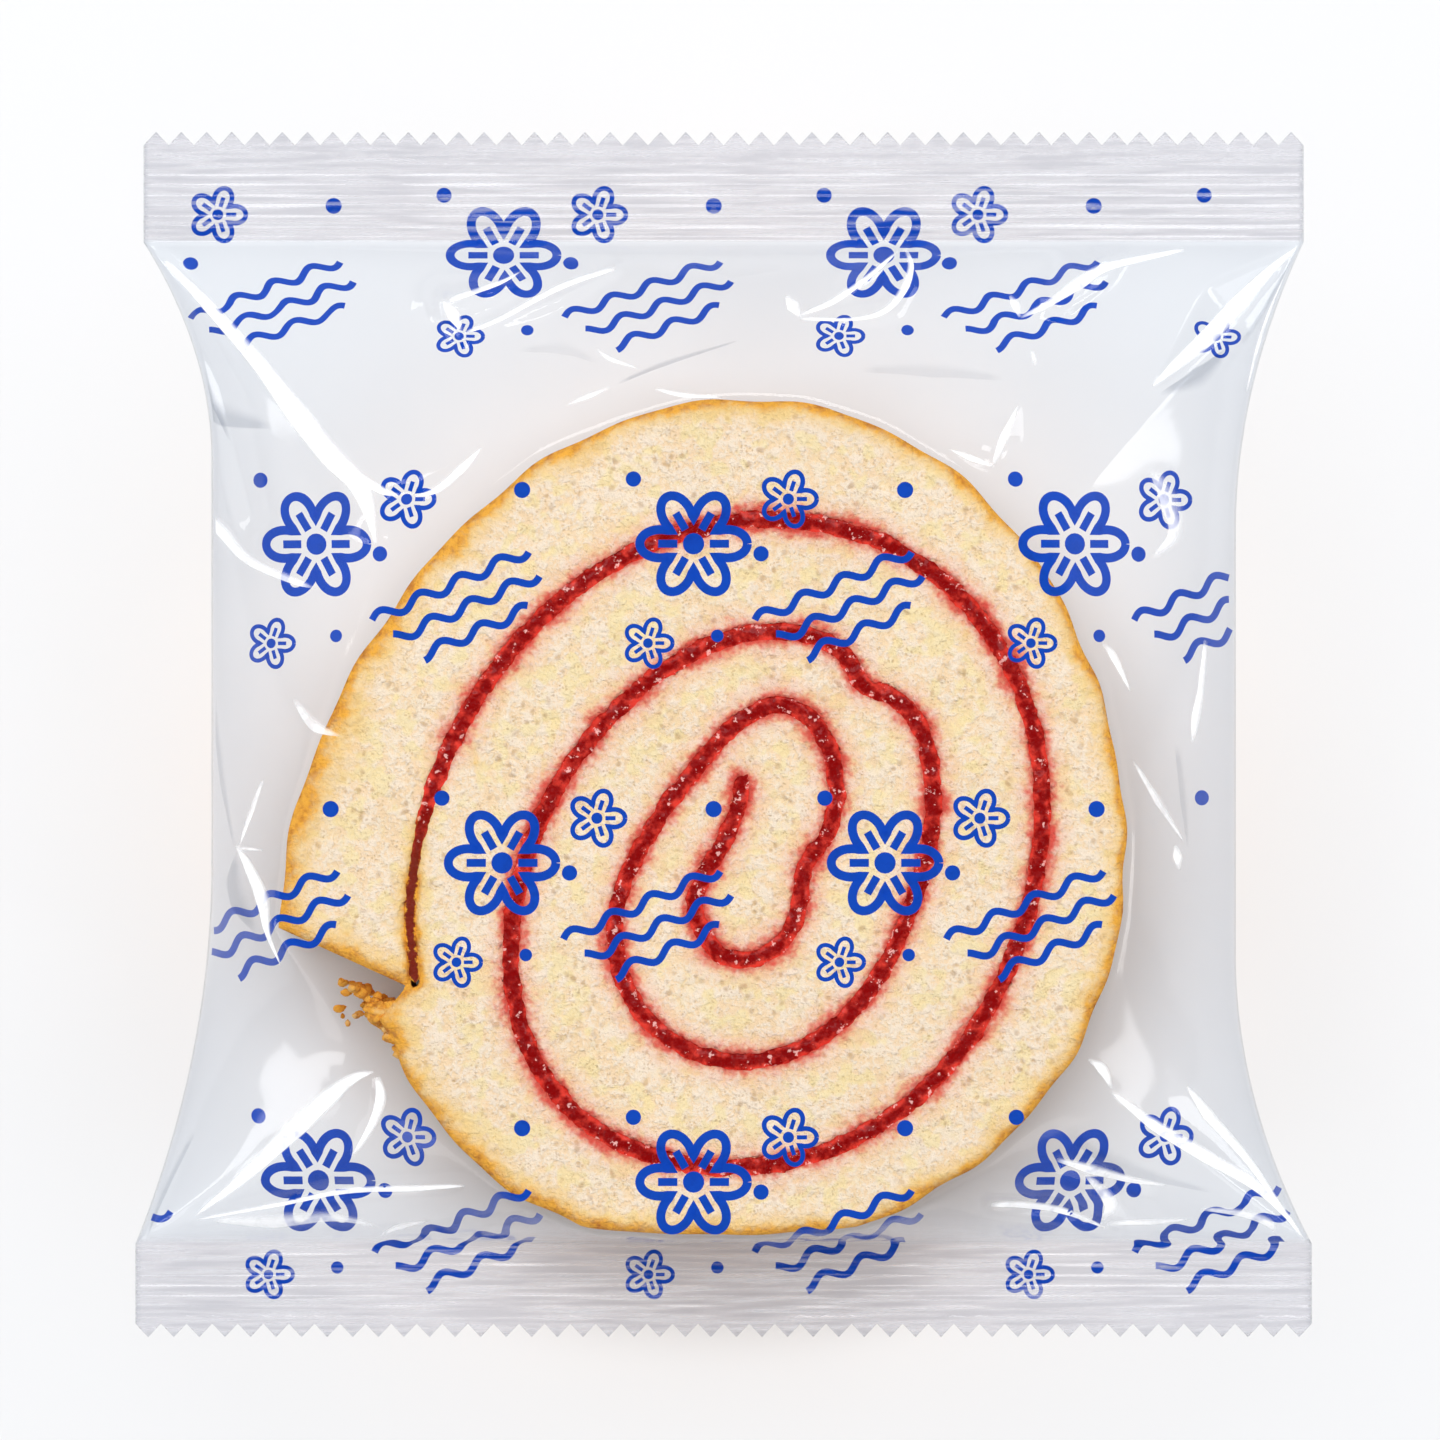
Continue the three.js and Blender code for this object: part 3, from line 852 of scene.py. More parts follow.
# The film's creases. Each follows a path, and the film slopes down from it on the right of the
# path's direction. Its width and its slope there go from a first through a second to a third value.
# A slope below zero folds the film the other way.
CREASES = (
    (((-62.0, 53.2), (-39.2, 24.3)), (0.7, 2.2, 3.4), (-1.0, -0.15, 0.38)),
    (((-36.2, 26.4), (-33.2, 26.4), (-27.9, 30.2)), (0.6, 1.0, 0.5), (-0.77, -0.4, -0.25)),
    (((-61.5, 51.0), (-55.5, 38.0), (-52.0, 24.0)), (1.0, 3.0, 2.0), (-0.38, -0.3, -0.6)),
    (((-31.0, 47.4), (-26.5, 48.5), (-21.6, 50.1)), (2.4, 1.6, 0.5), (1.1, 1.1, 1.0)),
    (((-28.8, 43.7), (-23.7, 45.7), (-18.1, 48.0), (-11.5, 51.5)), (0.6, 1.1, 0.6), (0.1, 1.1, 1.1)),
    (((-31.0, 47.4), (-28.8, 43.7)), (1.2, 1.6, 1.2), (0.37, 0.3, 0.75)),
    (((63.9, 53.8), (54.7, 46.0), (47.9, 38.9)), (0.4, 3.6, 0.6), (-1.1, -0.95, -0.8)),
    (((32.2, 45.7), (38.0, 47.0), (43.5, 50.7)), (0.5, 1.0, 0.5), (0.1, 1.1, 0.7)),
    (((36.7, 48.2), (42.9, 53.2)), (2.2, 3.0, 2.2), (0.8, 0.72, 1.1)),
    (((12.9, 45.6), (19.0, 46.6), (21.0, 50.1), (19.7, 54.0)), (0.8, 1.2, 0.8), (1.0, 0.4, 0.77)),
    (((12.9, 48.7), (18.0, 52.1)), (0.8, 1.1, 0.6), (0.82, 0.6, 0.98)),
    (((25.5, 31.1), (29.6, 29.5)), (0.5, 1.2, 1.0), (-0.5, -0.43, -0.35)),
    (((29.6, 29.5), (32.5, 36.1)), (0.4, 2.0, 0.4), (0.58, 0.42, 0.12)),
    (((-58.6, -52.8), (-42.1, -38.7)), (0.6, 2.0, 3.0), (-0.6, -0.3, 0.38)),
    (((-37.6, -38.2), (-37.5, -41.3), (-40.6, -46.5)), (1.0, 1.4, 0.8), (0.57, 0.2, 0.28)),
    (((-58.0, -53.3), (-41.5, -49.8), (-28.4, -49.5)), (0.5, 1.0, 0.6), (-1.1, -1.1, -1.1)),
    (((43.8, -39.7), (62.1, -53.5)), (2.2, 1.6, 0.6), (-0.05, 0.4, -0.13)),
    (((51.1, -39.4), (62.0, -52.2)), (2.6, 1.6, 0.5), (0.28, 0.5, 0.88)),
    (((37.1, -47.1), (46.7, -49.6)), (1.2, 1.6, 0.8), (-0.55, -0.4, -1.0)),
    (((42.5, -50.0), (45.0, -53.0)), (2.4, 3.0, 2.4), (-1.1, -0.7, -0.7)),
    (((29.5, -51.5), (37.4, -52.3), (43.8, -55.1)), (1.4, 1.4, 0.6), (-1.1, -1.1, -1.1)),
)
# How far the other side of a crease reaches, as a share of its width.
CREASE_BACK = 1.8


def crease_height(x, y, path, widths, slopes):
    """The height that one crease adds at each point of the film."""
    path = np.array(path)
    steps = np.diff(path, axis=0)
    lengths = np.hypot(*steps.T)
    total = lengths.sum()
    nearest = np.full_like(x, 1e9)
    side = np.zeros_like(x)
    share = np.zeros_like(x)
    for index, (start, step, length) in enumerate(zip(path, steps, lengths)):
        along = np.clip(((x - start[0]) * step[0] + (y - start[1]) * step[1]) / length**2, 0, 1)
        gap = np.hypot(x - start[0] - along * step[0], y - start[1] - along * step[1])
        closer = gap < nearest
        nearest = np.where(closer, gap, nearest)
        off = ((x - start[0]) * step[1] - (y - start[1]) * step[0]) / length
        side = np.where(closer, off, side)
        share = np.where(closer, (lengths[:index].sum() + along * length) / total, share)
    width = np.interp(share, (0, 0.5, 1), widths)
    slope = np.interp(share, (0, 0.5, 1), slopes)
    facet = np.maximum(0, 1 - nearest / width)
    back = np.maximum(0, 1 - nearest / (CREASE_BACK * width)) ** 2
    return slope * width * np.where(side > 0, facet, back)


def rough_grid(x, y, size, seed):
    """The smooth noise of rough, at every point of a grid."""
    return np.array([rough(a, b, size, seed) for a, b in zip(x.ravel(), y.ravel())]).reshape(x.shape)


def tooth_share(columns):
    """How far down each column lies from a tooth's tip, from 0 to 1 in the notch between two."""
    return 1 - np.abs((np.arange(columns + 1) * 2 / COLUMNS_A_TOOTH + 1) % 2 - 1)[None, :]


def film_grid(film):
    """The film's points over the table, row by row: rows run across the bag, and end in the teeth."""
    body = np.linspace(BOTTOM_LINE, TOP_LINE, film.body_rows + 1)
    low = np.linspace(BAG_BOTTOM, BOTTOM_LINE, film.seal_rows + 1)[:-1]
    high = np.linspace(TOP_LINE, BAG_TOP, film.seal_rows + 1)[1:]
    rows = np.concatenate([low, body, high])
    columns = TEETH * COLUMNS_A_TOOTH
    share = np.linspace(-1, 1, columns + 1)
    y = np.repeat(rows[:, None], columns + 1, axis=1)
    tooth = TOOTH_DEEP * tooth_share(columns)
    y = y + tooth * np.clip((BAG_BOTTOM + 3 - y) / 3, 0, 1)
    y = y - tooth * np.clip((y - BAG_TOP + 3) / 3, 0, 1)
    x = share[None, :] * half_width(y, np.sign(share)[None, :])
    return x, y


# The crimp in the seals: the pitch and height of its ridges, and how far in they reach. Past them
# the film lies in one facet to each side of a tooth. The last value holds its two layers apart.
RIDGE_PITCH = 1.15
RIDGE_HIGH = 0.11
RIDGES_DEEP = 8.6
FACET_HIGH = 0.22
SEAL_APART = 0.06


def film_heights(x, y, rind):
    """The film's front and back over every point of its grid."""
    table = np.arange(-180.0, 181.0)
    rim_table = rim_radius(table, rind)
    edge_table = edge_radius(table)
    bearing = np.degrees(np.arctan2(y - ROLL_Y, x - ROLL_X))
    distance = np.hypot(x - ROLL_X, y - ROLL_Y)
    rim = np.interp(bearing, table, rim_table)
    edge = np.interp(bearing, table, edge_table)
    share = np.clip((distance - rim) / (edge - rim), 0, 1)
    fall = (np.sqrt(share**2 + 0.0016) - 0.04) / (math.sqrt(1.0016) - 0.04)
    sealed = (y > TOP_LINE) | (y < BOTTOM_LINE)
    fall = np.where(sealed, 1, fall)
    slack = np.sin(np.pi * np.clip(share, 0, 1)) * ~sealed
    body = np.clip(slack * 4, 0, 1)
    creases = sum(crease_height(x, y, *crease) for crease in CREASES)
    wrinkle = 0.22 * rough_grid(x, y, 17, 61) + 0.06 * rough_grid(x, y, 6, 64)
    front = SEAM_HIGH + (FACE + 0.15 - SEAM_HIGH) * (1 - fall) ** 0.8
    front = front + body * (creases + wrinkle) + 0.1 * rough_grid(x, y, 7, 66) * (share == 0)
    back = SEAM_HIGH - (SEAM_HIGH - BACK - 0.02) * (1 - fall) ** 0.8
    back = back - body * 0.5 * wrinkle * np.clip((back - 0.3) / 2, 0, 1)
    into = np.where(y > 0, y - TOP_LINE, BOTTOM_LINE - y)
    wavy = 0.35 * rough_grid(x, y * 0.2, 17, 71)
    ridges = RIDGE_HIGH * np.sin(2 * np.pi * into / RIDGE_PITCH) * (0.6 + 0.4 * rough_grid(x, y * 3, 11, 72))
    ridges = ridges * np.clip(into / 0.8, 0, 1) * np.clip((RIDGES_DEEP - into) / 0.6, 0, 1)
    facets = FACET_HIGH * (0.5 - tooth_share(x.shape[1] - 1))
    facets = facets * np.clip((into - RIDGES_DEEP + 0.2) / 0.8, 0, 1)
    press = sealed * (wavy * np.clip(into / 3, 0, 1) + ridges + facets)
    front = front + press
    back = back + press
    inner = np.ones_like(x)
    inner[0] = inner[-1] = 0
    inner[:, 0] = inner[:, -1] = 0
    middle = (front + back) / 2
    front = np.where(sealed, middle + SEAL_APART * inner, np.where(inner > 0, front, middle))
    back = np.where(sealed, middle - SEAL_APART * inner, np.where(inner > 0, back, middle))
    return front, np.maximum(back, BACK + 0.01)


def flat_place(x, y, z):
    """Where each point of the film lay before the bag was made, in millimetres."""
    points = np.stack([x, y, z], axis=-1)
    across = np.linalg.norm(np.diff(points, axis=1), axis=2)
    across = np.cumsum(np.minimum(across, 1.05 * np.diff(x, axis=1)), axis=1)
    across = np.concatenate([np.zeros((len(x), 1)), across], axis=1)
    across = across - across[:, [x.shape[1] // 2]]
    middle = points[:, x.shape[1] // 2]
    up = np.linalg.norm(np.diff(middle, axis=0), axis=1)
    up = np.concatenate([[0], np.cumsum(np.minimum(up, 1.2 * np.diff(middle[:, 1])))])
    return across, up


class FilmSheet:
    """The front of the film: its points over the table, their heights, and where each lay flat."""

    def __init__(self, film):
        self.x, self.y = film_grid(film)
        self.front, self.back = film_heights(self.x, self.y, rind_line(0.5))
        self.across, self.up = flat_place(self.x, self.y, self.front)

    def height(self, x, y):
        """The height of the front over a point of the table."""
        column = self.x.shape[1] // 2
        row = float(np.interp(y, self.y[:, column], np.arange(len(self.y))))
        low = min(int(row), len(self.y) - 2)
        first, second = (np.interp(x, self.x[line], self.front[line]) for line in (low, low + 1))
        return first + (second - first) * (row - low)

    def place(self, across, up):
        """The point of the front that lay at this place of the flat film."""
        row = float(np.interp(up, self.up, np.arange(len(self.up))))
        low = min(int(row), len(self.up) - 2)
        spots = []
        for line in (low, low + 1):
            spots.append(
                [np.interp(across, self.across[line], grid[line]) for grid in (self.x, self.y, self.front)]
            )
        return Vector(spots[0]).lerp(Vector(spots[1]), row - low)


# The folds of the film. Each has a painted light value and a path of places, with half the
# fold's width at each. A value above zero paints a highlight on the fold, and one below zero
# paints shade on it.
FOLDS = (
    (1.0, ((-61.7, 52.4, 0.33), (-56.8, 47.3, 0.78), (-51.2, 41.0, 1.0), (-47.0, 35.4, 1.33),
        (-43.1, 30.7, 1.44), (-39.7, 26.9, 1.22), (-38.1, 20.9, 0.17))),
    (0.9, ((-42.0, 29.5, 0.56), (-37.6, 26.9, 0.56), (-35.6, 26.3, 0.17))),
    (1.0, ((-33.9, 26.2, 0.11), (-31.5, 26.9, 0.44), (-28.7, 29.3, 0.56), (-26.6, 31.5, 0.11))),
    (1.0, ((-30.8, 47.8, 0.33), (-29.7, 46.2, 0.89), (-28.8, 44.4, 0.22))),
    (0.85, ((-30.4, 47.8, 0.44), (-24.8, 49.8, 0.33), (-22.4, 51.1, 0.11))),
    (0.85, ((-28.7, 44.2, 0.22), (-24.8, 45.7, 0.33), (-18.1, 49.3, 0.39), (-12.0, 51.5, 0.33))),
    (1.0, ((7.0, 48.4, 0.33), (7.7, 47.2, 0.89), (8.5, 46.0, 0.22))),
    (0.9, ((8.4, 46.2, 0.22), (12.0, 47.7, 0.39), (15.8, 50.4, 0.39), (19.1, 53.3, 0.17))),
    (0.8, ((8.4, 45.8, 0.22), (14.0, 45.7, 0.22), (17.6, 46.6, 0.39), (19.8, 49.1, 0.56),
        (20.6, 51.7, 0.44), (20.0, 53.7, 0.22))),
    (1.0, ((31.6, 48.4, 0.22), (32.2, 47.4, 0.67), (32.7, 46.0, 0.22))),
    (0.95, ((32.7, 46.0, 0.22), (35.4, 47.3, 0.44), (39.1, 49.8, 0.89), (42.5, 51.7, 0.56),
        (50.9, 53.6, 0.22))),
    (1.0, ((63.8, 54.1, 0.11), (60.4, 51.2, 0.56), (56.8, 47.2, 1.22), (52.9, 43.2, 1.11),
        (49.6, 40.4, 0.67), (47.2, 38.3, 0.11))),
    (0.6, ((62.9, 52.4, 0.22), (59.8, 44.8, 0.44), (58.4, 37.6, 0.89))),
    (0.9, ((32.4, 36.2, 0.11), (30.8, 32.6, 0.56), (29.6, 29.6, 0.28))),
    (0.9, ((24.8, 31.3, 0.11), (27.1, 30.4, 0.44), (29.5, 29.5, 0.22))),
    (0.6, ((34.0, 42.4, 0.33), (34.4, 40.6, 0.33))),
    (0.6, ((-13.9, 42.4, 0.22), (-12.4, 41.3, 0.33), (-9.3, 40.2, 0.11))),
    (0.8, ((-7.6, 38.0, 0.17), (-4.6, 37.3, 0.33), (-0.2, 37.0, 0.11))),
    (0.6, ((-17.3, 36.2, 0.17), (-14.6, 37.3, 0.39), (-12.4, 38.2, 0.11))),
    (0.55, ((-58.6, 25.4, 0.44), (-55.3, 22.6, 1.0), (-52.3, 19.3, 0.67), (-47.0, 16.9, 0.56),
        (-44.8, 16.1, 0.11))),
    (0.5, ((47.3, 29.3, 0.67), (49.3, 25.4, 1.44), (49.8, 22.1, 1.0), (47.3, 19.3, 0.33))),
    (1.0, ((-53.6, -12.2, 0.22), (-52.1, -14.7, 0.67), (-50.6, -18.0, 0.94), (-50.0, -21.8, 0.39),
        (-48.6, -25.3, 0.11))),
    (0.7, ((-53.4, -12.4, 0.11), (-52.1, -8.7, 0.39), (-50.7, -4.9, 0.22))),
    (0.8, ((-53.6, -12.4, 0.28), (-50.6, -12.7, 0.11))),
    (0.55, ((-47.2, 4.0, 0.33), (-44.8, 1.1, 0.89), (-41.8, -0.2, 0.11))),
    (0.8, ((41.7, 10.1, 0.33), (42.8, 8.7, 0.56), (44.7, 4.7, 0.11))),
    (0.7, ((53.2, 10.4, 0.33), (52.6, 4.9, 0.44), (52.1, 2.0, 0.67), (51.7, -0.9, 0.22))),
    (0.5, ((44.9, -2.7, 0.22), (47.8, -7.3, 0.56), (50.8, -12.0, 0.11))),
    (0.9, ((49.8, -12.1, 0.33), (50.0, -13.4, 0.67), (50.2, -14.9, 0.22))),
    (1.0, ((-58.3, -53.1, 0.11), (-52.6, -48.4, 0.78), (-47.0, -43.0, 1.33), (-43.2, -39.5, 1.11),
        (-40.8, -37.7, 0.67), (-38.4, -36.9, 0.17))),
    (1.0, ((-37.8, -37.5, 0.44), (-37.6, -40.2, 0.72), (-38.7, -43.1, 0.5), (-40.8, -46.4, 0.17))),
    (0.9, ((-58.1, -53.5, 0.11), (-49.2, -51.8, 0.28), (-41.5, -50.2, 0.39), (-33.7, -49.8, 0.44),
        (-28.4, -49.5, 0.17))),
    (0.55, ((-56.4, -53.5, 0.33), (-49.8, -53.5, 1.11), (-43.1, -53.1, 0.67), (-38.1, -54.2, 0.22))),
    (0.6, ((-38.1, -55.3, 0.17), (-35.7, -54.2, 0.44), (-32.4, -53.5, 0.11))),
    (1.0, ((42.7, -39.3, 0.22), (47.3, -42.8, 0.78), (52.9, -46.2, 0.89), (58.4, -49.5, 0.67),
        (62.0, -52.9, 0.39), (64.1, -55.7, 0.11))),
    (0.75, ((40.0, -35.5, 0.22), (41.6, -36.6, 0.78), (42.7, -38.9, 0.22))),
    (0.9, ((51.0, -38.6, 0.22), (53.4, -41.8, 0.78), (57.3, -46.2, 0.56), (60.2, -50.2, 0.39),
        (63.8, -55.5, 0.11))),
    (0.9, ((36.6, -46.6, 0.33), (40.7, -47.8, 0.72), (45.1, -49.0, 0.44), (48.7, -49.6, 0.11))),
    (0.75, ((39.8, -48.2, 0.33), (42.7, -51.5, 1.0), (41.8, -53.8, 0.33))),
    (0.6, ((41.8, -53.9, 0.33), (47.3, -53.7, 0.44), (51.6, -53.4, 0.11))),
    (0.95, ((29.4, -51.6, 0.39), (33.1, -51.7, 0.5), (37.4, -52.4, 0.5), (42.2, -54.4, 0.17))),
    (0.6, ((52.4, -52.2, 0.22), (57.1, -52.7, 0.56), (60.2, -53.8, 0.67), (61.1, -55.3, 0.22))),
    (-0.7, ((55.6, 42.4, 0.33), (52.4, 39.3, 1.33), (48.2, 37.4, 0.33))),
    (-0.6, ((-11.7, 38.6, 0.22), (-6.5, 40.8, 0.39), (1.5, 43.3, 0.11))),
    (-0.55, ((-59.0, 37.3, 0.67), (-55.2, 35.5, 1.67), (-49.7, 34.0, 0.44))),
    (-0.55, ((-62.2, 49.3, 0.33), (-59.2, 42.6, 0.67), (-56.4, 37.1, 0.56), (-54.4, 32.4, 0.22))),
    (-0.5, ((-53.6, -12.9, 0.11), (-53.7, -16.0, 1.22), (-53.0, -18.6, 1.44), (-51.2, -21.8, 0.33))),
    (-0.4, ((-56.3, 3.8, 0.33), (-55.2, -5.1, 0.44), (-53.9, -12.3, 0.17))),
    (-0.4, ((50.0, -1.2, 0.44), (50.7, -7.3, 0.56), (51.1, -12.4, 0.11))),
    (-0.4, ((38.0, -43.7, 0.89), (44.0, -47.3, 1.11), (53.6, -50.3, 0.22))),
    (-0.5, ((57.3, -35.1, 0.22), (60.1, -44.0, 0.39), (62.9, -51.7, 0.33), (64.2, -55.7, 0.11))),
    (-0.5, ((-63.7, -55.5, 0.11), (-61.9, -50.6, 0.39), (-58.6, -44.0, 0.33))),
    (-0.5, ((63.7, 53.7, 0.11), (61.5, 50.0, 0.28), (59.6, 46.6, 0.33), (57.3, 43.1, 0.39))),
    (-0.35, ((15.2, 40.2, 0.44), (22.9, 40.2, 1.11), (30.7, 39.3, 0.44))),
    (-0.3, ((-22.6, 42.4, 0.33), (-17.6, 42.6, 1.0), (-13.7, 41.0, 0.33))),
    (-0.15, ((-3.7, 52.4, 0.33), (0.7, 51.3, 1.0), (6.3, 51.5, 0.33))),
)
# How a fold rises, and how much of its painted highlight or painted shade it shows, over its
# width, from its sharp side to its soft side.
FOLD_SECTION = ((-1.0, 0.0, 0.0), (-0.8, 0.3, 1.0), (-0.1, 0.2, 0.95), (0.45, 0.08, 0.5), (1.0, 0.0, 0.0))
# How far a fold's rim lies over the film, and how far it keeps from the film's edge.
FOLD_OVER = 0.06
FOLD_INSET = 0.5


def make_folds(film):
    """The sharp folds of the taut film, as raised bands that lie on it, with painted highlights and shade.
    """
    sheet = FilmSheet(film)
    bm = bmesh.new()
    painted_light_layer = float_layer(bm, "painted_light")
    for painted_light, path in FOLDS:
        path = np.array(path)
        line = rounded_line(path[:, :2], 0.5)
        out = unit_normals(line)
        reach = np.concatenate([[0], np.cumsum(np.hypot(*np.diff(path[:, :2], axis=0).T))])
        widths = np.interp(np.linspace(0, reach[-1], len(line)), reach, path[:, 2])
        columns, rows = len(FOLD_SECTION) - 1, len(line) - 1
        made = bmesh.ops.create_grid(bm, x_segments=columns, y_segments=rows, size=0.5)
        for vert in made["verts"]:
            row = round((vert.co.y + 0.5) * rows)
            side, rise, share = FOLD_SECTION[round((vert.co.x + 0.5) * columns)]
            x, y = line[row] - out[row] * side * widths[row]
            limit = float(half_width(np.float64(y), math.copysign(1, x))) - FOLD_INSET
            x = max(-limit, min(limit, x))
            end = min(1.0, 0.25 + min(row, rows - row) / 4)
            vert.co = (x, y, sheet.height(x, y) + FOLD_OVER + rise * widths[row])
            vert[painted_light_layer] = painted_light * share * end
    face_up(bm)
    return finish_piece("film_folds_painted_light", bm, fold_material(film), "bag", "film")


def make_film(film):
    """The clear bag: one closed shell, pleated at its corners and crimped at its ends."""
    sheet = FilmSheet(film)
    rows, columns = sheet.x.shape[0] - 1, sheet.x.shape[1] - 1
    body = (sheet.y[:, 0] >= BOTTOM_LINE) & (sheet.y[:, 0] <= TOP_LINE)
    kept_rows = [row for row in range(rows + 1) if not body[row] or row % 2 == 0]
    bm = bmesh.new()
    sealed = float_layer(bm, "sealed")
    front = sheet_part(bm, sheet, sheet.front, range(rows + 1), range(columns + 1))
    back = sheet_part(bm, sheet, sheet.back, kept_rows, range(0, columns + 1, 2))
    bmesh.ops.reverse_faces(bm, faces=list({face for vert in back for face in vert.link_faces}))
    for vert in bm.verts:
        vert[sealed] = float(vert.co.y > TOP_LINE or vert.co.y < BOTTOM_LINE)
    rim = [vert for vert in front if vert.is_boundary]
    rim_tree = kdtree.KDTree(len(rim))
    for index, vert in enumerate(rim):
        rim_tree.insert(vert.co, index)
    rim_tree.balance()
    back_rim = {edge for vert in back for edge in vert.link_edges if edge.is_boundary}
    taken = {rim_tree.find(vert.co)[1] for edge in back_rim for vert in edge.verts}
    between = {}
    for edge in back_rim:
        middle = (edge.verts[0].co + edge.verts[1].co) / 2
        for _, index, distance in rim_tree.find_n(middle, 3):
            if index not in taken and distance < 0.6 * edge.calc_length():
                between[edge] = rim[index].co
                break
    for edge, place in between.items():
        _, made = bmesh.utils.edge_split(edge, edge.verts[0], 0.5)
        made.co = place
    bmesh.ops.remove_doubles(bm, verts=[vert for vert in bm.verts if vert.is_boundary], dist=1e-4)
    return finish_piece("film", bm, film_material(film), "bag", "film")


def sheet_part(bm, sheet, heights, rows, columns):
    """A grid over the chosen rows and columns of the film, at these heights."""
    made = bmesh.ops.create_grid(bm, x_segments=len(columns) - 1, y_segments=len(rows) - 1, size=0.5)
    for vert in made["verts"]:
        row = rows[round((vert.co.y + 0.5) * (len(rows) - 1))]
        column = columns[round((vert.co.x + 0.5) * (len(columns) - 1))]
        vert.co = (sheet.x[row, column], sheet.y[row, column], heights[row, column])
    return made["verts"]


def strip(bm, path, half, sheet):
    """A band of ink along a path on the flat film, laid on the film where it is now."""
    path = np.array(path)
    out = unit_normals(path)
    made = bmesh.ops.create_grid(bm, x_segments=1, y_segments=len(path) - 1, size=0.5)
    for vert in made["verts"]:
        row = round((vert.co.y + 0.5) * (len(path) - 1))
        across, up = path[row] + out[row] * half * (1 if vert.co.x > 0 else -1)
        vert.co = sheet.place(across, up) - INK_UNDER


def dot(bm, centre, radius, sheet):
    """A round spot of ink."""
    made = bmesh.ops.create_circle(bm, cap_ends=True, cap_tris=True, segments=18, radius=radius)
    for vert in made["verts"]:
        vert.co = sheet.place(centre[0] + vert.co.x, centre[1] + vert.co.y) - INK_UNDER


def rosette(bm, centre, radius, petals, sheet):
    """A round flower of outlined petals, with a spoke in each and a spot in the middle."""
    turn = np.linspace(0, 2 * math.pi, 24 * petals + 1)
    reach = radius * (0.42 + 0.58 * np.abs(np.cos(petals * turn / 2)) ** 0.8)
    rim = centre + np.stack([reach * np.cos(turn), reach * np.sin(turn)], axis=-1)
    strip(bm, rim, 0.085 * radius, sheet)
    for petal in range(petals):
        angle = 2 * math.pi * petal / petals
        ray = np.array([math.cos(angle), math.sin(angle)])
        spoke = centre + np.linspace(0.3, 0.66, 6)[:, None] * radius * ray
        strip(bm, spoke, 0.075 * radius, sheet)
    dot(bm, centre, 0.2 * radius, sheet)


# The cells of the print that can reach the film, the steps along a wave, how far a wave keeps from
# the film's edge, and the steps of the shortest piece of wave that is still printed.
INK_ROWS = range(-1, 7)
INK_COLUMNS = range(-3, 4)
WAVE_STEP = 0.25
WAVE_MARGIN = 0.6
SHORTEST_WAVE = 4


def make_ink(film):
    """The print: a common wrapper pattern of rosettes, dots and short waves in staggered rows."""
    sheet = FilmSheet(film)
    bm = bmesh.new()
    lean = math.radians(WAVE_LEAN)
    turn = np.array([[math.cos(lean), math.sin(lean)], [-math.sin(lean), math.cos(lean)]])
    for row in INK_ROWS:
        for column in INK_COLUMNS:
            corner = np.array([(column + 0.5 * (row % 2)) * INK_PITCH[0], row * INK_PITCH[1]]) + INK_SHIFT
            for place, radius, petals in INK_ROSETTES:
                if is_on_film(corner + place, radius, sheet):
                    rosette(bm, corner + place, radius, petals, sheet)
            for place, radius in INK_DOTS:
                if is_on_film(corner + place, radius, sheet):
                    dot(bm, corner + place, radius, sheet)
            for line, (start, end) in enumerate(WAVE_SPANS):
                along = np.arange(start, end, WAVE_STEP)
                off = WAVE_HIGH * np.sin(2 * math.pi * along / WAVE_LONG) - line * WAVE_GAP
                path = corner + WAVE_PLACE + np.stack([along, off], axis=-1) @ turn
                on_film = [is_on_film(spot, WAVE_MARGIN, sheet) for spot in path]
                for is_inside, run in itertools.groupby(zip(on_film, path), key=lambda pair: pair[0]):
                    spots = [spot for _, spot in run]
                    if is_inside and len(spots) > SHORTEST_WAVE:
                        strip(bm, spots, WAVE_HALF, sheet)
    face_up(bm)
    return finish_piece("ink", bm, ink_material(film), "bag", "film")


def is_on_film(place, margin, sheet):
    """True if a mark of this reach fits on the front of the film."""
    across, up = place
    if not margin < up < sheet.up[-1] - margin:
        return False
    row = int(np.searchsorted(sheet.up, up)) - 1
    return sheet.across[row][0] + margin < across < sheet.across[row][-1] - margin


def ink_material(film):
    """Blue ink that lets some of what is behind it through."""
    material, tree, output, place = new_material("ink")
    wear = noise_node(tree, place, 900.0, 2.0, 0.6)
    clear = add_node(tree, "ShaderNodeBsdfTransparent", {"Color": (*film.ink_through, 1)})
    body = add_node(
        tree,
        "ShaderNodeBsdfPrincipled",
        {
            "Base Color": blend(tree, wear, film.ink, [1.15 * c for c in film.ink]),
            "Roughness": 0.45,
            "Specular IOR Level": 0.2,
        },
    )
    thick = ease(tree, wear, 0.2, 0.6, 0.72, 0.86)
    mixed = mix_shaders(tree, thick, clear, body)
    tree.links.new(mixed.outputs[0], output.inputs["Surface"])
    return material


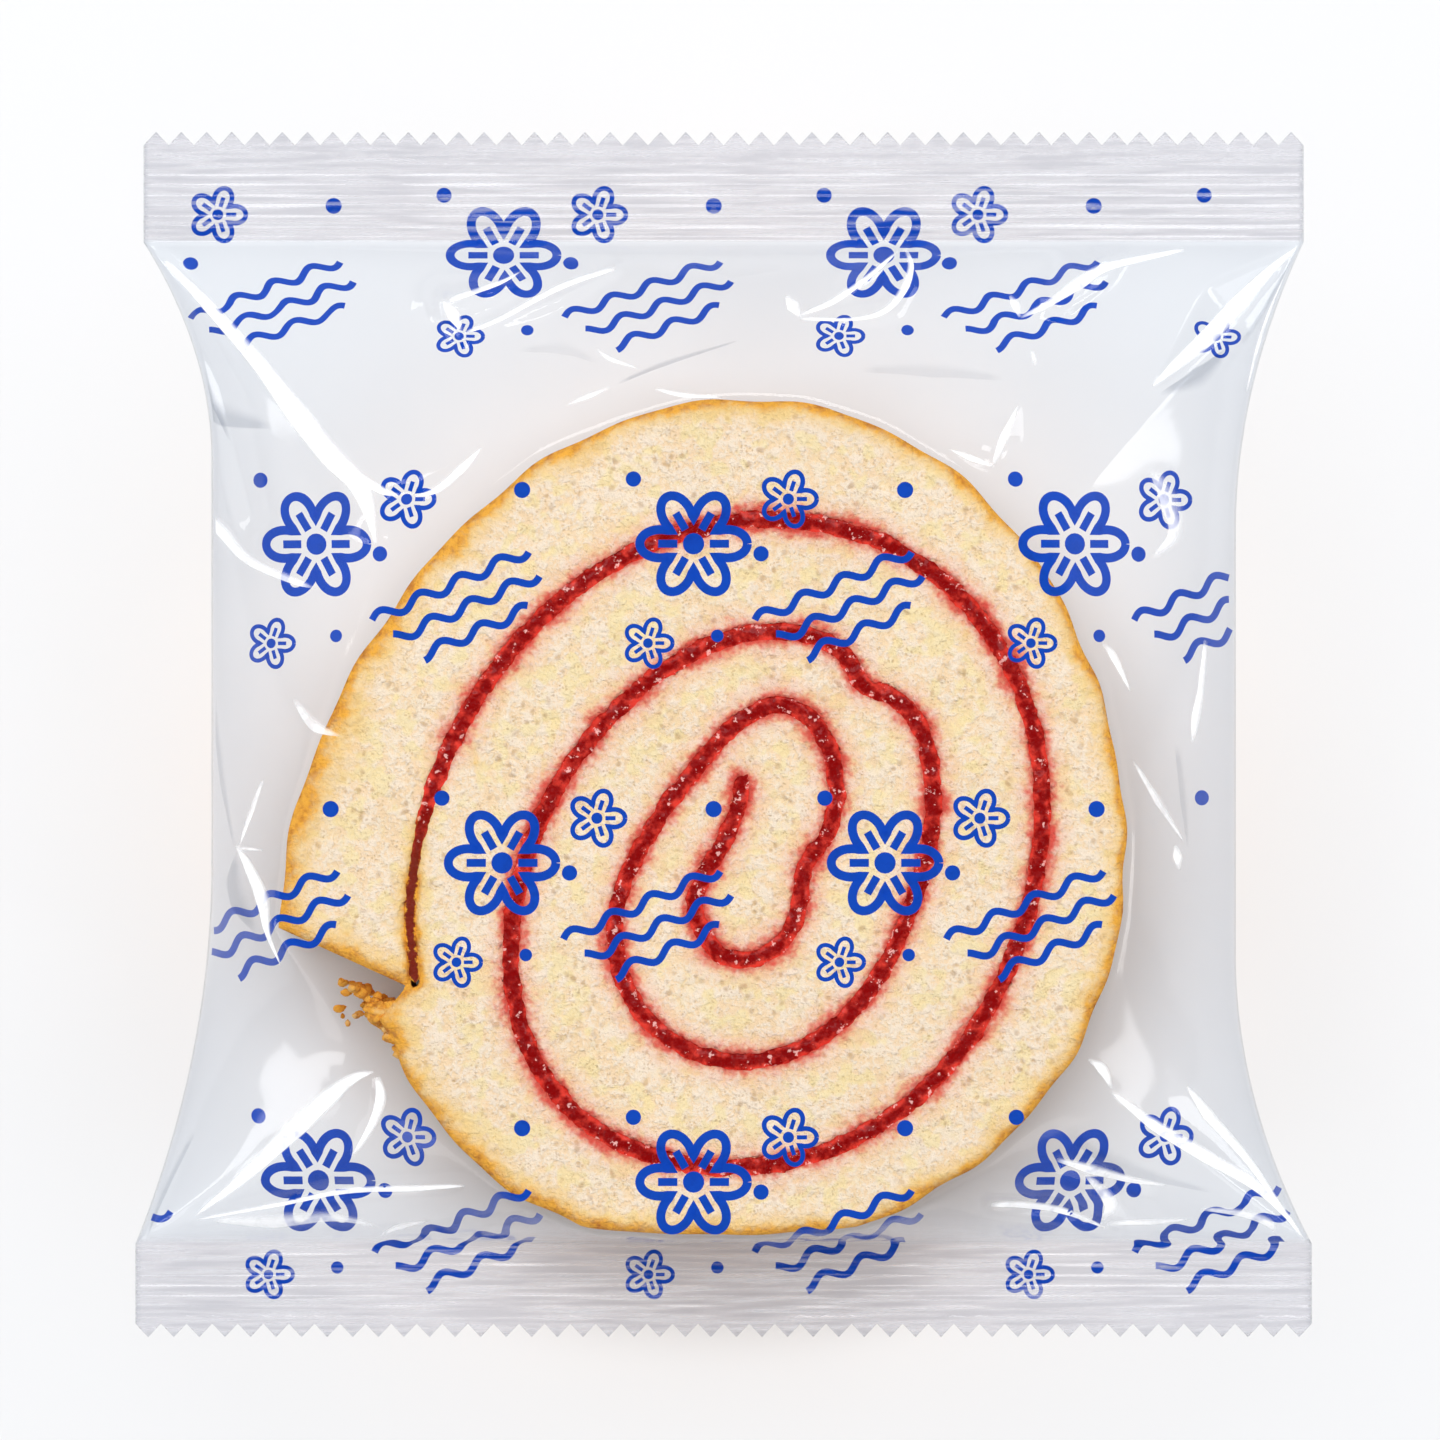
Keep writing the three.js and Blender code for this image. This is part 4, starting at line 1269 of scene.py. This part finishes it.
def fold_material(film):
    """A fold: a painted highlight, white and faintly glowing, where its value is above zero, and painted
    shade, darker than the film, where it is below.
    """
    material, tree, output, place = new_material("film_folds_painted_light")
    painted_light = near(tree, "painted_light")
    # Painted highlight above zero, whitish and faintly glowing in streaks; painted shade below zero.
    streaks = ease(tree, noise_node(tree, place, 420.0, 3.0, 0.6), 0.25, 0.6, 0.6, 1.0)
    white = times(tree, ease(tree, painted_light, 0.0, 0.85), streaks)
    grey = blend(tree, ease(tree, painted_light, 0.0, -1.0), (1, 1, 1), film.painted_shade_tint)
    clear = add_node(tree, "ShaderNodeBsdfTransparent", {"Color": grey})
    body = add_node(
        tree,
        "ShaderNodeBsdfPrincipled",
        {
            "Base Color": (0.97, 0.975, 0.99, 1),
            "Roughness": 0.3,
            "Emission Color": (1, 1, 1, 1),
            "Emission Strength": 0.1,
        },
    )
    mixed = mix_shaders(tree, white, clear, body)
    tree.links.new(mixed.outputs[0], output.inputs["Surface"])
    return material


def film_material(film):
    """Thin clear film: see-through, glossy, and milky where the jaws crimped it, with painted shade on its
    steep slopes, in soft clouds and along its crimp lines.
    """
    material, tree, output, place = new_material("film")
    sealed = near(tree, "sealed")
    stretched = add_node(tree, "ShaderNodeMapping", {"Vector": place, "Scale": (0.05, 1.0, 1.0)}).outputs[0]
    lines = noise_node(tree, stretched, 1900.0, 2.0, 0.5)
    ripple = noise_node(tree, place, 150.0, 1.0, 0.5)
    bump = add_node(tree, "ShaderNodeBump", {"Strength": film.ripple, "Distance": 0.0004, "Height": ripple})
    # Painted shade: the film lets less through where it is steep, in soft clouds, and along the lines of its
    # crimp.
    steep = add_node(tree, "ShaderNodeLayerWeight", {"Blend": 0.5}).outputs["Facing"]
    painted_shade_clouds = ease(tree, noise_node(tree, place, 30.0, 2.0, 0.55), 0.4, 0.65, 0.0, 0.05)
    dark_lines = times(tree, sealed, ease(tree, lines, 0.52, 0.36, 0.0, 0.2))
    painted_shade_clouds = plus(tree, painted_shade_clouds, dark_lines)
    dark = plus(tree, ease(tree, steep, 0.05, 0.4, 0.0, 0.25), painted_shade_clouds)
    tint = blend(tree, dark, blend(tree, sealed, film.tint, film.seal_tint), film.painted_shade_tint)
    clear = add_node(tree, "ShaderNodeBsdfTransparent", {"Color": tint})
    body = add_node(
        tree, "ShaderNodeBsdfPrincipled", {"Base Color": (0.7, 0.71, 0.74, 1), "Roughness": 0.35}
    )
    gloss = add_node(
        tree,
        "ShaderNodeBsdfAnisotropic",
        {"Color": (1, 1, 1, 1), "Roughness": 0.1, "Normal": bump.outputs[0]},
    )
    milk = ease(tree, lines, 0.46, 0.66, 0.0, film.haze)
    haze = times(tree, sealed, milk)
    under = mix_shaders(tree, haze, clear, body)
    turned = add_node(tree, "ShaderNodeLayerWeight", {"Blend": 0.5, "Normal": bump.outputs[0]})
    facing = turned.outputs["Facing"]
    mirror = times(tree, math_node(tree, "POWER", facing, 4.0), 0.7)
    mirror = plus(tree, mirror, film.gloss)
    inside = add_node(tree, "ShaderNodeNewGeometry").outputs["Backfacing"]
    mirror = times(tree, mirror, math_node(tree, "SUBTRACT", 1.0, inside))
    coat = mix_shaders(tree, mirror, under, gloss)
    tree.links.new(coat.outputs[0], output.inputs["Surface"])
    return material


# The lights: direction and height in degrees, distance, width, height, power, and whether the film
# mirrors them. The big one over the table lights the cake, and the small ones draw the film's gleams.
SOFTBOXES = (
    ("light_over", 100, 80, 2.4, 1.6, 1.6, 45.0, False),
    ("gleam_left", 190, 30, 1.25, 0.26, 0.6, 1.6, True),
    ("gleam_right", 352, 30, 1.25, 0.26, 0.6, 1.6, True),
    ("gleam_far_left", 135, 26, 1.25, 0.6, 0.45, 2.2, True),
    ("gleam_far_right", 45, 26, 1.25, 0.6, 0.45, 2.2, True),
    ("gleam_near_left", 222, 26, 1.25, 0.5, 0.45, 0.8, True),
    ("gleam_near_right", 318, 26, 1.25, 0.5, 0.45, 0.8, True),
    ("gleam_top", 90, 66, 1.25, 0.6, 0.26, 1.6, True),
)

# Half the floor's side, and how far it lies under the bag, in metres.
FLOOR_HALF = 3.0
FLOOR_UNDER = 0.0001
# Where the camera's sight meets the floor, so that the bag lies in the picture as in the photo.
CAMERA_PLACE = (-0.0004, 0.0016)
# The room darkens from the first of these heights, as parts of straight up, to the second.
ROOM_DARKENS = (0.6, 0.97)
ROOM_OVERHEAD = 0.03


def make_stage(stage):
    """A pale floor, softboxes, an even room and a camera that looks straight down."""
    bm = bmesh.new()
    bmesh.ops.create_grid(bm, x_segments=1, y_segments=1, size=FLOOR_HALF)
    mesh = bpy.data.meshes.new("floor")
    bm.to_mesh(mesh)
    bm.free()
    floor = bpy.data.objects.new("floor", mesh)
    floor.location.z = -FLOOR_UNDER
    bpy.context.scene.collection.objects.link(floor)
    material, tree, output, place = new_material("floor")
    paper = noise_node(tree, place, 30.0, 1.0, 0.5)
    paper = blend(tree, paper, stage.floor, [c * 1.01 for c in stage.floor])
    body = add_node(tree, "ShaderNodeBsdfDiffuse", {"Color": paper})
    tree.links.new(body.outputs[0], output.inputs["Surface"])
    mesh.materials.append(material)

    for name, bearing, height, distance, wide, high, power, mirrored in SOFTBOXES:
        light = bpy.data.lights.new(name, "AREA")
        light.shape = "RECTANGLE"
        light.size = wide
        light.size_y = high
        light.energy = power
        lamp = bpy.data.objects.new(name, light)
        turn, rise = math.radians(bearing), math.radians(height)
        lamp.location = (
            distance * math.cos(rise) * math.cos(turn),
            distance * math.cos(rise) * math.sin(turn),
            distance * math.sin(rise),
        )
        lamp.rotation_euler = (-lamp.location).to_track_quat("-Z", "Y").to_euler()
        lamp.visible_glossy = mirrored
        lamp.visible_camera = False
        bpy.context.scene.collection.objects.link(lamp)

    # The room is dark straight overhead, so that film lying flat on the cake mirrors nothing bright.
    world = bpy.data.worlds.new("studio")
    world.use_nodes = True
    tree = world.node_tree
    way = add_node(tree, "ShaderNodeTexCoord").outputs["Generated"]
    up = add_node(tree, "ShaderNodeSeparateXYZ", {0: way}).outputs["Z"]
    room = tree.nodes["Background"]
    room.inputs["Color"].default_value = (0.93, 0.95, 1.0, 1)
    tree.links.new(ease(tree, up, *ROOM_DARKENS, stage.room, ROOM_OVERHEAD), room.inputs["Strength"])
    bpy.context.scene.world = world

    camera = bpy.data.cameras.new("camera")
    camera.sensor_width = 36
    camera.lens = camera.sensor_width * stage.distance / stage.view_wide
    camera.clip_end = 2 * stage.distance
    eye = bpy.data.objects.new("camera", camera)
    eye.location = (*CAMERA_PLACE, stage.distance)
    bpy.context.scene.collection.objects.link(eye)
    bpy.context.scene.camera = eye
    bpy.context.scene.view_settings.view_transform = "Standard"


class SWISSROLL_OT_sponge(bpy.types.Operator):
    """Make the rolled sponge with its crumb and its baked skin"""

    bl_idname = "swissroll.sponge"
    bl_label = "Sponge"

    def execute(self, context):
        make_sponge(context.scene.roll_slice, context.scene.roll_jam)
        return {"FINISHED"}


class SWISSROLL_OT_jam(bpy.types.Operator):
    """Make the spiral of jam"""

    bl_idname = "swissroll.jam"
    bl_label = "Jam"

    def execute(self, context):
        make_jam(context.scene.roll_slice, context.scene.roll_jam)
        return {"FINISHED"}


class SWISSROLL_OT_crumbs(bpy.types.Operator):
    """Make the torn flake and the crumbs under the flap"""

    bl_idname = "swissroll.crumbs"
    bl_label = "Crumbs"

    def execute(self, context):
        make_crumbs(context.scene.roll_slice, context.scene.roll_jam)
        return {"FINISHED"}


class SWISSROLL_OT_film(bpy.types.Operator):
    """Make the clear bag with its pleated corners and its crimped seals"""

    bl_idname = "swissroll.film"
    bl_label = "Film"

    def execute(self, context):
        make_film(context.scene.roll_film)
        return {"FINISHED"}


class SWISSROLL_OT_folds(bpy.types.Operator):
    """Make the sharp folds of the bag, with their painted highlights and painted shade"""

    bl_idname = "swissroll.folds"
    bl_label = "Folds"

    def execute(self, context):
        make_folds(context.scene.roll_film)
        return {"FINISHED"}


class SWISSROLL_OT_ink(bpy.types.Operator):
    """Make the blue print on the bag"""

    bl_idname = "swissroll.ink"
    bl_label = "Print"

    def execute(self, context):
        make_ink(context.scene.roll_film)
        return {"FINISHED"}


class SWISSROLL_OT_stage(bpy.types.Operator):
    """Make the floor, the softboxes and the camera"""

    bl_idname = "swissroll.stage"
    bl_label = "Stage"

    def execute(self, context):
        make_stage(context.scene.roll_stage)
        return {"FINISHED"}


OPERATORS = (
    SWISSROLL_OT_stage,
    SWISSROLL_OT_sponge,
    SWISSROLL_OT_jam,
    SWISSROLL_OT_crumbs,
    SWISSROLL_OT_film,
    SWISSROLL_OT_folds,
    SWISSROLL_OT_ink,
)


class SWISSROLL_PT_panel(bpy.types.Panel):
    """The steps that make the wrapped slice"""

    bl_label = "Swiss Roll"
    bl_space_type = "VIEW_3D"
    bl_region_type = "UI"
    bl_category = "Swiss Roll"

    def draw(self, context):
        for settings in (getattr(context.scene, name) for name in SETTINGS):
            box = self.layout.box()
            for name in settings.__annotations__:
                box.prop(settings, name)
        for operator in OPERATORS:
            self.layout.operator(operator.bl_idname)


CLASSES = (SliceSettings, JamSettings, FilmSettings, StageSettings, *OPERATORS, SWISSROLL_PT_panel)
SETTINGS = {
    "roll_slice": SliceSettings,
    "roll_jam": JamSettings,
    "roll_film": FilmSettings,
    "roll_stage": StageSettings,
}


def register():
    """Makes the settings, the operators and the panel known to Blender."""
    for made in CLASSES:
        bpy.utils.register_class(made)
    for name, settings in SETTINGS.items():
        setattr(bpy.types.Scene, name, PointerProperty(type=settings))


def unregister():
    """Takes them away again."""
    for name in SETTINGS:
        delattr(bpy.types.Scene, name)
    for made in reversed(CLASSES):
        bpy.utils.unregister_class(made)


def main():
    """Makes the stage and every piece in order."""
    register()
    bpy.ops.swissroll.stage()
    bpy.ops.swissroll.sponge()
    bpy.ops.swissroll.jam()
    bpy.ops.swissroll.crumbs()
    bpy.ops.swissroll.film()
    bpy.ops.swissroll.folds()
    bpy.ops.swissroll.ink()


if __name__ == "__main__":
    main()
